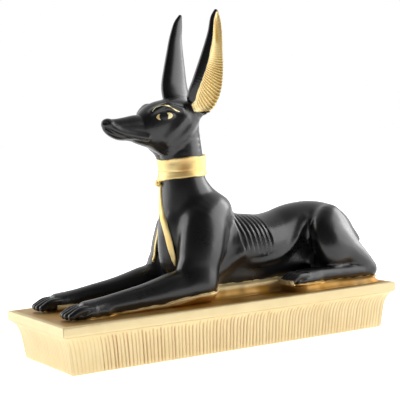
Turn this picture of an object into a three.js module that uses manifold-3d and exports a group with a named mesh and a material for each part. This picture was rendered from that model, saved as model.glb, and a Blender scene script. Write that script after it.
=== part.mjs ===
// A recumbent jackal with tall ears, cast in resin with its fluted plinth and painted black and gold.
// Millimetres, +Z up. The origin is the middle of the plinth's underside and the jackal looks toward -X.
// The plinth is a plain slab over a cavetto that draws in to the foot, cut with upright flutes.
// The jackal is built up as a sculptor would, from swept limbs and muscles that blend into each other.

import * as THREE from "three";
import { mergeVertices } from "three/addons/utils/BufferGeometryUtils.js";
import Module from "manifold-3d";

const wasm = await Module();
wasm.setup();

// The jackal from its toes to its hocks, and the rim of slab left round it
const FIGURE_LENGTH = 211.8;
const TOE_MARGIN = 7.5;
const HOCK_MARGIN = 0.7;
const SIDE_MARGIN = 7.9;

// Plinth
const PLINTH_HEIGHT = 27.5;
const SLAB_THICKNESS = 5.6;
const SLAB_EDGE_ROUND = 0.7;
const CAVETTO_DEPTH = 4;
const CAVETTO_HEIGHT = 9.5;
const FOOT_BATTER = 2.8;
const CORNER_CUT = 1.4;
const FLUTE_PITCH = 2.25;
const FLUTE_DEPTH = 0.55;
const FLUTE_TOP_GAP = 1.1;
const FLUTE_FADE = 2.4;

// Beds cast with the plinth: one under the belly, and a lower, wider one that falls toward the heels
const BED_HEIGHT = 7;
const BED_WIDTH = 33;
const BED_CORNER = 8;
const HIND_BED_HEIGHT = 4.6;
const HIND_BED_WIDTH = 63;
const HIND_BED_FALL = 0.033;
const BED_ROUND = 1.4;
const CASTING_GAP = 0.3;

// The jackal is laid out in shares of its own length: SPAN of them from the toes to the hocks.
// In every row x runs toward the tail, y is the distance out from the mid-plane and z the height above
// the slab. The last two numbers of a row are half the limb's width and half its height there.
const SPAN = 211.8;
const TOE_SHARE = -102.5;
const HALF_WIDTH_SHARE = 33.1;
const ELBOW_SHARE = -10;
const KNEE_SHARE = 62;
const HIND_TOE_SHARE = 43;
const HEEL_SHARE = 106.5;
const HEAD_TURN = THREE.MathUtils.degToRad(8);
const HEAD_PIVOT = new THREE.Vector3(-10, 0, 100.5);
const GRID_STEP = 1.5;
const GRID_LOW = [-108, -36, -6];
const GRID_HIGH = [114, 36, 174];
const NECK_BLEND = 7;
const CLOTH_BLEND = 0.8;
const FIGURE_FACES = 4650;
// Merging skips places that lie far off the edge, nearly fold a face over or leave a sliver
const FARTHEST_MERGE = 1.5;
const LEAST_FACING = 0.35;
const LEAST_AREA = 1e-3;
const LENGTH_PENALTY = 1e-4;
const LEAST_STIFFNESS = 1e-4;
// Above this height a face counts for more when the skin is thinned, which keeps the face and the collar
const FINE_ABOVE = 62;
const FINE_WEIGHT = 5;

const ACROSS = [0, 1, 0];
const UPRIGHT = [0, 0, 1];
const UNIT = FIGURE_LENGTH / SPAN;
const PLINTH_LENGTH = FIGURE_LENGTH + TOE_MARGIN + HOCK_MARGIN;
const PLINTH_WIDTH = 2 * (HALF_WIDTH_SHARE * UNIT + SIDE_MARGIN);
const SKIRT_HEIGHT = PLINTH_HEIGHT - SLAB_THICKNESS;
const ROOT = SLAB_THICKNESS / 3;
const STEPS_PER_ROW = 5;
const FAR = 1000;
const LEAST_HALF = 0.05;
const PROBE_HALVINGS = 12;
// Grooves between the ribs: angles round the flank from the top of the back, and each one's depth
const RIB_START = 20;
const BACK_EDGE = 57;
const RIB_ENDS = [93, 95, 98, 102, 105, 106, 94];
const RIB_DEPTHS = [1, 0.65, 0.7, 0.75, 1, 0.7, 0.85];
const RIB_END_DEPTH = 0.12;
const RIB_PITCH = 3.1;
const FLANK_OUTSIDE = 34;
const FLANK_INSIDE = 1;
const FLAT_CELL = 1e-3;
const WELD = 1e-4;

const BLACK_PAINT = { color: 0x0d0d10, roughness: 0.32, metalness: 0 };
const GOLD_PAINT = { color: 0xd9b26a, roughness: 0.42, metalness: 0.35 };

// A limb: an elliptical section swept along a curve through its rows.
class Sweep {
  constructor(rows, across, pose) {
    const centres = rows.map(([x, y, z]) => pose(new THREE.Vector3(x, y, z), true));
    const halves = rows.map(([, , , side, rise]) => new THREE.Vector3(side, rise, 0));
    const path = new THREE.CatmullRomCurve3(centres, false, "catmullrom");
    const section = new THREE.CatmullRomCurve3(halves, false, "catmullrom");
    const steps = (rows.length - 1) * STEPS_PER_ROW;
    const sideways = pose(new THREE.Vector3(...across), false);
    this.min = new THREE.Vector3(Infinity, Infinity, Infinity);
    this.max = this.min.clone().negate();
    this.links = [];
    let from = path.getPoint(0);
    let fromHalf = section.getPoint(0);
    for (let step = 1; step <= steps; step += 1) {
      const to = path.getPoint(step / steps);
      const toHalf = section.getPoint(step / steps);
      const along = to.clone().sub(from);
      const length = along.length();
      along.divideScalar(length);
      const side = sideways.clone().addScaledVector(along, -sideways.dot(along)).normalize();
      const rise = along.clone().cross(side);
      this.links.push({ from, along, length, side, rise, fromHalf, toHalf });
      this.reachOver(from, fromHalf);
      this.reachOver(to, toHalf);
      from = to;
      fromHalf = toHalf;
    }
  }

  reachOver(point, half) {
    const reach = Math.max(half.x, half.y);
    this.min.min(point.clone().subScalar(reach));
    this.max.max(point.clone().addScalar(reach));
  }

  // Links that lie further off than anything this form could blend with are passed over.
  distance(x, y, z, reach) {
    let nearest = FAR;
    for (const { from, along, side, rise, length, fromHalf, toHalf } of this.links) {
      const dx = x - from.x;
      const dy = y - from.y;
      const dz = z - from.z;
      const run = dx * along.x + dy * along.y + dz * along.z;
      const held = Math.min(Math.max(run, 0), length);
      const u = dx * side.x + dy * side.y + dz * side.z;
      const v = dx * rise.x + dy * rise.y + dz * rise.z;
      const w = run - held;
      const widest = Math.max(fromHalf.x, fromHalf.y, toHalf.x, toHalf.y) + reach;
      if (u * u + v * v + w * w > widest * widest) continue;
      const share = held / length;
      const halfSide = Math.max(fromHalf.x + (toHalf.x - fromHalf.x) * share, LEAST_HALF);
      const halfRise = Math.max(fromHalf.y + (toHalf.y - fromHalf.y) * share, LEAST_HALF);
      const own = ellipsoidDistance(u, v, w, halfSide, halfRise, Math.min(halfSide, halfRise));
      if (own < nearest) nearest = own;
    }
    return nearest;
  }
}

// A muscle or a bead: an ellipsoid turned about the upright axis.
class Lump {
  constructor(centre, halves, turn, mirror, pose) {
    this.centre = pose(new THREE.Vector3(centre[0], centre[1] * mirror, centre[2]), true);
    this.halves = halves;
    const heading = new THREE.Vector3(Math.cos(turn), Math.sin(turn) * mirror, 0);
    this.heading = pose(heading, false);
    const reach = Math.max(...halves);
    this.min = this.centre.clone().subScalar(reach);
    this.max = this.centre.clone().addScalar(reach);
  }

  distance(x, y, z) {
    const dx = x - this.centre.x;
    const dy = y - this.centre.y;
    const u = dx * this.heading.x + dy * this.heading.y;
    const v = dy * this.heading.x - dx * this.heading.y;
    return ellipsoidDistance(u, v, z - this.centre.z, ...this.halves);
  }
}

function ellipsoidDistance(u, v, w, a, b, c) {
  const p = u / a;
  const q = v / b;
  const r = w / c;
  const level = Math.sqrt(p * p + q * q + r * r);
  if (level < 1e-6) return -Math.min(a, b, c);
  const slope = Math.sqrt((p * p) / (a * a) + (q * q) / (b * b) + (r * r) / (c * c));
  return (level * (level - 1)) / slope;
}

// Union of two distances with a fillet about as wide as blend.
function blendMin(a, b, blend) {
  const near = Math.max(blend - Math.abs(a - b), 0) / blend;
  return Math.min(a, b) - (near * near * blend) / 4;
}

function applyForm(distance, form, own) {
  if (form.cut) return -blendMin(-distance, own, form.blend);
  return blendMin(distance, own, form.blend);
}

const bodyPose = (vector) => vector;

function headPose(vector, isPlace) {
  const upright = new THREE.Vector3(0, 0, 1);
  if (!isPlace) return vector.applyAxisAngle(upright, HEAD_TURN);
  return vector.sub(HEAD_PIVOT).applyAxisAngle(upright, HEAD_TURN).add(HEAD_PIVOT);
}

// A list of forms in the order in which they are put on or cut away, each with its mirrored twin.
class Sculpture {
  constructor(pose = bodyPose) {
    this.pose = pose;
    this.forms = [];
  }

  sweep(cut, blend, rows, across) {
    const sides = rows.some((row) => row[1] !== 0) ? [1, -1] : [1];
    for (const mirror of sides) {
      const mirrored = rows.map(([x, y, z, side, rise]) => [x, y * mirror, z, side, rise]);
      const turned = [across[0], across[1] * mirror, across[2]];
      this.forms.push({ cut, blend, shape: new Sweep(mirrored, turned, this.pose) });
    }
  }

  add(blend, rows, across = ACROSS) {
    this.sweep(false, blend, rows, across);
  }

  cut(blend, rows, across = ACROSS) {
    this.sweep(true, blend, rows, across);
  }

  // A sweep on one side of the mid-plane only
  addOneSided(blend, rows, across) {
    this.forms.push({ cut: false, blend, shape: new Sweep(rows, across, this.pose) });
  }

  lump(blend, centre, halves, turnDegrees = 0, mirrors = centre[1] === 0 ? [1] : [1, -1]) {
    const turn = THREE.MathUtils.degToRad(turnDegrees);
    for (const mirror of mirrors) {
      this.forms.push({ cut: false, blend, shape: new Lump(centre, halves, turn, mirror, this.pose) });
    }
  }

  distance(x, y, z) {
    let distance = FAR;
    for (const form of this.forms) {
      distance = applyForm(distance, form, form.shape.distance(x, y, z, form.blend + GRID_STEP));
    }
    return distance;
  }
}

// The place along a straight probe, from outside to inside, where it meets the skin.
function skinAlong(sculpture, probe, outside, inside) {
  let outer = outside;
  let inner = inside;
  for (let halving = 0; halving < PROBE_HALVINGS; halving += 1) {
    const middle = (outer + inner) / 2;
    if (sculpture.distance(...probe(middle)) < 0) inner = middle;
    else outer = middle;
  }
  return inner;
}

// Rows of x, z, half width and half height laid on the flank, sunk into it so far.
function onFlank(sculpture, rows, sink) {
  const places = new THREE.CatmullRomCurve3(
    rows.map(([x, z]) => new THREE.Vector3(x, 0, z)),
    false,
    "catmullrom",
  );
  const sizes = new THREE.CatmullRomCurve3(
    rows.map(([, , side, rise]) => new THREE.Vector3(side, rise, 0)),
    false,
    "catmullrom",
  );
  const count = (rows.length - 1) * 3;
  return Array.from({ length: count + 1 }, (_, index) => {
    const { x, z } = places.getPoint(index / count);
    const size = sizes.getPoint(index / count);
    const y = skinAlong(sculpture, (out) => [x, out, z], FLANK_OUTSIDE, FLANK_INSIDE);
    return [x, y - sink, z, size.x, size.y];
  });
}

function addTrunkAndNeck(body) {
  body.add(1, [
    [-4, 0, 30.5, 15, 22], [14, 0, 29, 18, 19.5], [26, 0, 29, 19.6, 18], [38, 0, 28.5, 18.6, 17.2],
    [50, 0, 30.6, 16, 16.4], [62, 0, 33, 14.5, 17.2], [76, 0, 33, 14.5, 17.8], [88, 0, 30.5, 14, 17],
    [96, 0, 25, 12, 13.5], [99.5, 0, 16.5, 8.5, 9],
  ]);
  // Lower belly, drawn in under the fold of the flank
  body.add(6, [
    [0, 0, 11, 12, 13], [22, 0, 11, 14, 12.5], [42, 0, 12.5, 13, 12], [60, 0, 15, 12, 12],
    [80, 0, 13, 12, 11],
  ]);
  // Neck and chest
  body.add(9, [
    [-11.4, 0, 102, 9.8, 10.6], [-12.2, 0, 85.5, 11.8, 12.9], [-11.7, 0, 73, 12.3, 13],
    [-11, 0, 64.5, 14, 14.1], [-8.6, 0, 55.5, 15.5, 17.5], [-5.8, 0, 45.5, 16, 22.3],
    [-7, 0, 32.5, 14.5, 22.5], [-8, 0, 20.5, 12, 20.5], [-6, 0, 12.5, 10, 16],
  ]);
  // Throat, then the muscle of the neck that runs down from behind the jaw
  body.add(5, [[-27, 3, 90.6, 3.2, 3.2], [-22.6, 4.2, 85.5, 3.8, 3.1], [-19.6, 4.6, 80, 3.2, 2.4]]);
  body.add(3, [
    [-8, 9.2, 104.5, 2.4, 2.6], [-12.4, 10, 99.5, 2.6, 2.8], [-17.6, 9.6, 94.5, 2.4, 2.6],
    [-23, 7.4, 89.5, 1.8, 2],
  ]);
}

function addForeQuarters(body) {
  // Shoulder blade and upper arm
  body.add(5, [
    [9, 6.5, 52.5, 6, 6.5], [3, 11, 50.5, 8.2, 10.5], [-6, 14.5, 44.5, 10, 14],
    [-10.5, 17, 32.5, 10.2, 14], [-13.5, 18.3, 22.5, 9.9, 12.5], [-15.5, 19, 12.5, 9, 10.5],
  ]);
  // Foreleg along the slab
  body.add(5, [
    [-14, 19, 10.5, 9.5, 10.5], [-30, 19, 9.5, 8.8, 10.3], [-41, 19.2, 8.1, 8, 9],
    [-51, 19.4, 7.1, 7, 7.7], [-64, 19.8, 6.1, 6.1, 6.6], [-76, 20, 5.3, 5.8, 5.5],
    [-87, 20.5, 4.7, 6.6, 4.9],
  ]);
  body.lump(3, [-22.5, 19, 22.5], [4.5, 5, 3.5]);
}

function addHindQuarters(body) {
  // Thigh and knee
  body.add(3.5, [
    [86, 9, 37, 9, 12], [82, 15.5, 35, 8.6, 14], [79, 19.5, 30, 8.2, 15],
    [77, 21.5, 23, 7.5, 12.5], [78, 22.5, 17.5, 6, 8],
  ]);
  // Shank back to the hock, then the hamstring above it
  body.add(5, [
    [76, 21, 26, 7, 10], [88, 21.5, 20, 7, 8.5], [97, 22, 13.5, 6, 7], [103.5, 22.3, 8, 4.8, 5.2],
  ]);
  body.add(3, [
    [84.5, 13.5, 43, 4, 3.5], [90.5, 17.5, 33, 4, 3.4], [96.8, 20.5, 21, 3.6, 3.2],
    [103.6, 22.3, 10, 3.4, 3],
  ]);
  // Buttock beside the root of the tail
  body.add(2.5, [
    [84, 12.5, 39.5, 6, 6], [90.5, 13, 36.6, 5.5, 5], [96.3, 13.5, 29.5, 5, 4.5],
    [100.8, 13.8, 25.4, 3.4, 3.2],
  ]);
  // Metatarsus along the bed, and the inner side of the folded leg
  body.add(2, [
    [104.5, 22.3, 6.6, 4.8, 4.9], [92, 24, 7.1, 4.8, 4.3], [74, 25, 7.6, 4.6, 4.4],
    [60, 25.5, 8.2, 5.2, 4.6], [51, 26, 8.2, 5.8, 4.4],
  ]);
  body.add(4, [[77, 13, 10, 9, 9], [86, 15.5, 9, 8, 8], [98, 17, 7, 6, 6]]);
  // Tail hanging between the hocks
  body.add(4, [[97, 0, 33, 5, 5], [103, 0, 25, 4.5, 4.5], [105.2, 0, 15, 4, 4], [105.5, 0, 4, 3.6, 3.6]]);
}

// Four toes side by side on their pad, from the paw at rear to the tips at front.
function addToes(body, { paw, knuckle, tip, centre, height, spread, half }) {
  const sole = height - 2.3;
  body.add(3, [[paw + 8, centre - 0.3, sole, spread * 1.5, 2.6], [tip + 6, centre, sole, spread * 1.8, 2.3]]);
  for (const place of [-1.5, -0.5, 0.5, 1.5]) {
    const shorter = Math.abs(place) * 0.9;
    body.add(0.3, [
      [paw, centre + place * spread * 0.8, height + 0.6, half, half * 1.05],
      [knuckle, centre + place * spread * 0.95, height + 0.5, half, half * 1.15],
      [tip + shorter, centre + place * spread, height - 2, half * 0.9, half * 0.95],
    ]);
  }
}

// Hollow before the haunch, the fold of the flank and the fold behind the elbow, laid on the skin.
function addFolds(body) {
  const hollow = [
    [72, 15.5, 51, 1.2, 1.2], [64.5, 18.5, 45, 1.6, 1.6], [61.5, 20.5, 36, 2.2, 2.2],
    [62, 21, 26, 2.4, 2.4], [66, 21.5, 18, 2, 2],
  ];
  const flank = [
    [66, 41, 1, 1], [60.5, 36, 1.4, 1.4], [56, 30, 1.7, 1.7], [49.5, 24.3, 1.9, 1.9],
    [41, 20.3, 1.9, 1.9], [30, 18.6, 1.3, 1.3], [23, 19, 0.6, 0.6],
  ];
  const elbow = [[-3, 12, 2.6, 2.6], [5, 18, 2.2, 2.2], [15, 25, 1.2, 1.2]];
  const flankRows = onFlank(body, flank, 0.9);
  const elbowRows = onFlank(body, elbow, 1.4);
  body.cut(5, hollow);
  body.add(3.5, flankRows);
  body.add(4.5, elbowRows);
}

// Grooves between the ribs: fine across the back, deeper low on the flank.
function cutRibs(body) {
  const swell = (angle, middle, spread) => Math.exp(-(((angle - middle) / spread) ** 2));
  const steps = 9;
  const grooves = RIB_ENDS.map((last, rib) =>
    Array.from({ length: steps + 1 }, (_unused, step) => {
      const angle = RIB_START + ((last - RIB_START) * step) / steps;
      const aslant = 2 * THREE.MathUtils.clamp((angle - 40) / 37, -0.55, 0.5);
      const lean = (1.6 * Math.max(0, angle - BACK_EDGE)) / 33;
      const x = 15 + RIB_PITCH * rib + aslant + lean;
      const y = 19.9 * Math.sin(THREE.MathUtils.degToRad(angle));
      const z = 28.5 + 18.4 * Math.cos(THREE.MathUtils.degToRad(angle));
      const onFlankSide = RIB_DEPTHS[rib] * swell(angle, (BACK_EDGE + last) / 2, 14);
      const isEnd = step === 0 || step === steps;
      const deep = isEnd ? RIB_END_DEPTH : 0.3 + 0.2 * swell(angle, 38, 14) + onFlankSide;
      if (angle < BACK_EDGE) {
        const top = skinAlong(body, (up) => [x, y, up], 70, 10);
        return [x, y, top, deep * 0.6, deep];
      }
      const side = skinAlong(body, (out) => [x, out, z], FLANK_OUTSIDE, FLANK_INSIDE);
      return [x, side, z, deep * 0.8, deep * 0.8];
    }),
  );
  for (const rows of grooves) body.cut(0.9, rows);
}

// One turn of the cloth collar, tilted to rise toward the nape.
function collarTurn(centreX, height, halfX, halfY, tilt, halfBand, halfThick) {
  const steps = 24;
  return Array.from({ length: steps + 2 }, (_, step) => {
    const angle = (2 * Math.PI * step) / steps;
    const x = centreX + halfX * Math.cos(angle);
    return [x, halfY * Math.sin(angle), height + tilt * Math.cos(angle), halfBand, halfThick];
  });
}

function addCollar(cloth) {
  cloth.addOneSided(0.5, collarTurn(-12.1, 80.5, 12.8, 11.8, 1.4, 3.7, 1.5), UPRIGHT);
  cloth.addOneSided(0.5, collarTurn(-11.7, 75.2, 13.1, 12.1, 0.5, 3.4, 1.4), UPRIGHT);
}

// The two ends of the scarf hang from the knot and spread down the chest. Each runs from the knot down:
// distance to the animal's right, height, half width.
function addScarfEnds(cloth, body) {
  const nearEnd = [
    [3.9, 67.5, 0.8], [3.4, 62, 1], [1, 54, 1.7], [-3.8, 46.2, 2.1], [-6.4, 38.6, 2.4],
    [-7.6, 30.8, 2.4], [-8.1, 24.5, 1.6], [-8.3, 21.3, 0.2],
  ];
  const farEnd = [
    [5.2, 67, 0.8], [6.4, 60, 1.1], [8.4, 52.5, 1.7], [11, 45, 2.2], [13.3, 38, 2.5],
    [14.7, 31, 2.5], [14.9, 25, 1.7], [14.8, 21.8, 0.2],
  ];
  for (const [end, lean] of [[nearEnd, -0.35], [farEnd, 0.5]]) {
    const fall = new THREE.CatmullRomCurve3(
      end.map(([y, z, half]) => new THREE.Vector3(half, y, z)),
      false,
      "catmullrom",
    );
    const count = (end.length - 1) * 3;
    const rows = Array.from({ length: count + 1 }, (_, index) => {
      const { x: half, y, z } = fall.getPoint(index / count);
      const x = skinAlong(body, (forward) => [forward, y, z], -50, -5);
      return [x - 0.15, y, z, Math.max(half, 0.4), 1.1];
    });
    cloth.addOneSided(0.5, rows, [lean, 1, 0]);
  }
  cloth.lump(0.8, [-26, 4.6, 69], [1.9, 2.1, 2], 0, [1]);
}

function addSkullAndMuzzle(head) {
  head.add(1, [
    [-11.6, 0, 108.6, 9.6, 8.4], [-16, 0, 107.3, 12.2, 11.2], [-22.5, 0, 104.7, 12.3, 12.9],
    [-28, 0, 103.1, 11.2, 13.2], [-33.6, 0, 101.5, 9.6, 11.5], [-39, 0, 100.9, 7.4, 9.1],
    [-44.6, 0, 101.8, 6.2, 7.7], [-49.8, 0, 101.9, 5.4, 6.8], [-55, 0, 101.9, 4.7, 6.2],
    [-59.5, 0, 102.9, 3.8, 5.1], [-62.2, 0, 104.1, 3.2, 4],
  ]);
  head.lump(1.6, [-62.8, 0, 105.6], [3.3, 3.1, 2.5]);
  // Brow, eye, cheek and the groove behind the jaw
  head.add(3.5, [
    [-36, 6.4, 110.4, 0.8, 0.7], [-32.5, 8.4, 112.5, 1.7, 1.3], [-27, 10.2, 114.3, 2.1, 1.5],
    [-19, 11.2, 111.6, 1.6, 1.4],
  ]);
  head.lump(1.2, [-29.6, 9, 107.9], [5.9, 1.9, 2.4], 20);
  head.add(4, [[-16, 10.6, 106, 2.4, 3], [-21.5, 10.4, 100.5, 2.6, 3], [-28, 8.4, 94.6, 2.2, 2.6]]);
  head.cut(3, [
    [-8.5, 13.2, 107.5, 2.2, 2.6], [-13.8, 14.6, 103, 2.4, 2.8], [-18.6, 14, 98.6, 2.4, 2.8],
    [-23.4, 12.6, 94.6, 1.8, 2], [-28, 10.8, 91.4, 0.7, 0.7],
  ]);
  // Upper lip, and the line of the mouth under it
  head.add(3, [
    [-61.8, 2.3, 104.6, 0.7, 0.8], [-59.5, 3.1, 102.1, 0.7, 0.9], [-55.5, 3.7, 99.6, 0.7, 0.9],
    [-48, 4.9, 97.8, 0.7, 0.9], [-40, 6.6, 96.1, 0.7, 0.9],
  ]);
  head.cut(1, [
    [-64.2, 1.4, 102.9, 0.5, 0.5], [-60, 3.6, 99.9, 0.8, 0.8], [-53, 4.7, 97.1, 0.7, 0.7],
    [-47, 5.7, 95.6, 0.7, 0.7], [-40.5, 7.2, 94.1, 0.55, 0.55], [-35.4, 8.7, 92.1, 0.2, 0.2],
  ]);
}

// Each ear is a tall leaf, hollowed on its outer side.
function addEars(head) {
  const across = [1, 0.16, 0];
  head.add(3, [
    [-10.6, 8.8, 109.4, 2, 3], [-5, 11.2, 114.4, 8.9, 4.5], [-3.8, 13.6, 119.5, 10.4, 4.4],
    [-2.5, 16.2, 126.5, 9.8, 4.2], [-0.8, 17.6, 135.5, 8.3, 3.8], [0.9, 18.6, 145.5, 6.3, 3.2],
    [2.5, 19.2, 154.5, 4.7, 2.5], [4, 18.3, 162.5, 3.4, 1.7], [5.4, 17.4, 167.2, 1.3, 1],
  ], across);
  head.cut(1, [
    [-5.3, 12.9, 110.6, 4, 2.4], [-4.2, 14.4, 114, 6.6, 3], [-2.2, 16.9, 119.5, 8, 3.4],
    [-0.4, 19.3, 127, 7.4, 3.4], [1.5, 20.9, 137, 5.7, 3], [2.8, 21.3, 148.5, 3.9, 2.5],
    [4.4, 20.5, 160.5, 2.5, 1.8], [5.4, 19.4, 165.5, 1, 1],
  ], across);
}

function sculptJackal() {
  const body = new Sculpture();
  addTrunkAndNeck(body);
  addForeQuarters(body);
  addHindQuarters(body);
  addFolds(body);
  const cloth = new Sculpture();
  addCollar(cloth);
  addScarfEnds(cloth, body);
  cutRibs(body);
  addToes(body, { paw: -84, knuckle: -92.5, tip: -100, centre: 20.5, height: 4.8, spread: 3.7, half: 1.92 });
  addToes(body, { paw: 52.5, knuckle: 45.5, tip: 39.8, centre: 26.3, height: 8.6, spread: 3.4, half: 1.8 });
  const head = new Sculpture(headPose);
  addSkullAndMuzzle(head);
  addEars(head);
  return { body, head, cloth };
}

// Distances of a sculpture's skin on a regular grid.
class Grid {
  constructor(min, max, step) {
    this.min = min;
    this.step = step;
    this.size = [0, 1, 2].map((axis) => Math.ceil((max[axis] - min[axis]) / step) + 1);
    this.values = new Float32Array(this.size[0] * this.size[1] * this.size[2]).fill(FAR);
  }

  index(i, j, k) {
    return (i * this.size[1] + j) * this.size[2] + k;
  }

  place(axis, index) {
    return this.min[axis] + this.step * index;
  }

  range(axis, low, high) {
    const first = Math.max(Math.floor((low - this.min[axis]) / this.step), 0);
    const last = Math.min(Math.ceil((high - this.min[axis]) / this.step), this.size[axis] - 1);
    return [first, last];
  }

  fill(sculpture) {
    for (const form of sculpture.forms) {
      const { min, max } = form.shape;
      const reach = form.blend + 2 * this.step;
      const [i0, i1] = this.range(0, min.x - reach, max.x + reach);
      const [j0, j1] = this.range(1, min.y - reach, max.y + reach);
      const [k0, k1] = this.range(2, min.z - reach, max.z + reach);
      for (let i = i0; i <= i1; i += 1) {
        for (let j = j0; j <= j1; j += 1) {
          for (let k = k0; k <= k1; k += 1) {
            const at = this.index(i, j, k);
            const own = form.shape.distance(this.place(0, i), this.place(1, j), this.place(2, k), reach);
            if (own < FAR) this.values[at] = applyForm(this.values[at], form, own);
          }
        }
      }
    }
    return this;
  }

  join(other, blend) {
    for (let at = 0; at < this.values.length; at += 1) {
      this.values[at] = blendMin(this.values[at], other.values[at], blend);
    }
  }
}

// Fills the pinched places where two sheets of skin would share an edge or a corner of one cell.
function closePinches(grid) {
  const { values } = grid;
  const strides = [grid.size[1] * grid.size[2], grid.size[2], 1];
  const fillShallower = (a, b) => {
    values[values[a] < values[b] ? a : b] = -FLAT_CELL;
  };
  let filled = true;
  while (filled) {
    filled = false;
    for (let at = 0; at < values.length - strides[0] - strides[1] - 1; at += 1) {
      for (const [one, two] of [[0, 1], [1, 2], [0, 2]]) {
        const beside = at + strides[one];
        const above = at + strides[two];
        const across = beside + strides[two];
        const inside = values[at] < 0;
        if (inside !== values[across] < 0 || values[beside] < 0 !== values[above] < 0) continue;
        if (inside === values[beside] < 0) continue;
        if (inside) fillShallower(beside, above);
        else fillShallower(at, across);
        filled = true;
      }
    }
  }
}

// Surface nets: one vertex in each cell that the skin crosses, one quad over each crossed edge.
function skinOf(grid) {
  const [nx, ny, nz] = grid.size;
  const { values } = grid;
  const positions = [];
  const vertexAt = new Int32Array(values.length).fill(-1);
  const corners = [0, 1, 2, 3, 4, 5, 6, 7].map((bits) => [bits & 1, (bits >> 1) & 1, (bits >> 2) & 1]);
  const edges = [];
  for (let a = 0; a < 8; a += 1) {
    for (const bit of [1, 2, 4]) {
      if (!(a & bit)) edges.push([a, a | bit]);
    }
  }
  for (let i = 0; i < nx - 1; i += 1) {
    for (let j = 0; j < ny - 1; j += 1) {
      for (let k = 0; k < nz - 1; k += 1) {
        const sum = [0, 0, 0];
        let crossings = 0;
        const level = corners.map(([a, b, c]) => values[grid.index(i + a, j + b, k + c)]);
        for (const [from, to] of edges) {
          if (level[from] < 0 === level[to] < 0) continue;
          const share = level[from] / (level[from] - level[to]);
          crossings += 1;
          for (const axis of [0, 1, 2]) {
            sum[axis] += corners[from][axis] + share * (corners[to][axis] - corners[from][axis]);
          }
        }
        if (crossings === 0) continue;
        vertexAt[grid.index(i, j, k)] = positions.length / 3;
        const cell = [i, j, k];
        for (const axis of [0, 1, 2]) {
          positions.push(grid.place(axis, cell[axis] + sum[axis] / crossings));
        }
      }
    }
  }
  const triangles = [];
  const strides = [ny * nz, nz, 1];
  for (let i = 1; i < nx - 1; i += 1) {
    for (let j = 1; j < ny - 1; j += 1) {
      for (let k = 1; k < nz - 1; k += 1) {
        const at = grid.index(i, j, k);
        for (const axis of [0, 1, 2]) {
          const inside = values[at] < 0;
          if (inside === values[at + strides[axis]] < 0) continue;
          const back = strides[(axis + 1) % 3];
          const down = strides[(axis + 2) % 3];
          const ring = [at - back - down, at - down, at, at - back].map((cell) => vertexAt[cell]);
          if (!inside) ring.reverse();
          triangles.push(ring[0], ring[1], ring[2], ring[0], ring[2], ring[3]);
        }
      }
    }
  }
  return { positions: Float64Array.from(positions), triangles: Int32Array.from(triangles) };
}

// A binary heap of edges, cheapest first.
class EdgeHeap {
  constructor() {
    this.items = [];
  }

  push(item) {
    const { items } = this;
    let at = items.push(item) - 1;
    while (at > 0) {
      const parent = (at - 1) >> 1;
      if (items[parent].cost <= item.cost) break;
      items[at] = items[parent];
      at = parent;
    }
    items[at] = item;
  }

  pop() {
    const { items } = this;
    const top = items[0];
    const last = items.pop();
    if (items.length === 0) return top;
    let at = 0;
    for (;;) {
      let child = 2 * at + 1;
      if (child >= items.length) break;
      if (child + 1 < items.length && items[child + 1].cost < items[child].cost) child += 1;
      if (items[child].cost >= last.cost) break;
      items[at] = items[child];
      at = child;
    }
    items[at] = last;
    return top;
  }
}

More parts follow.
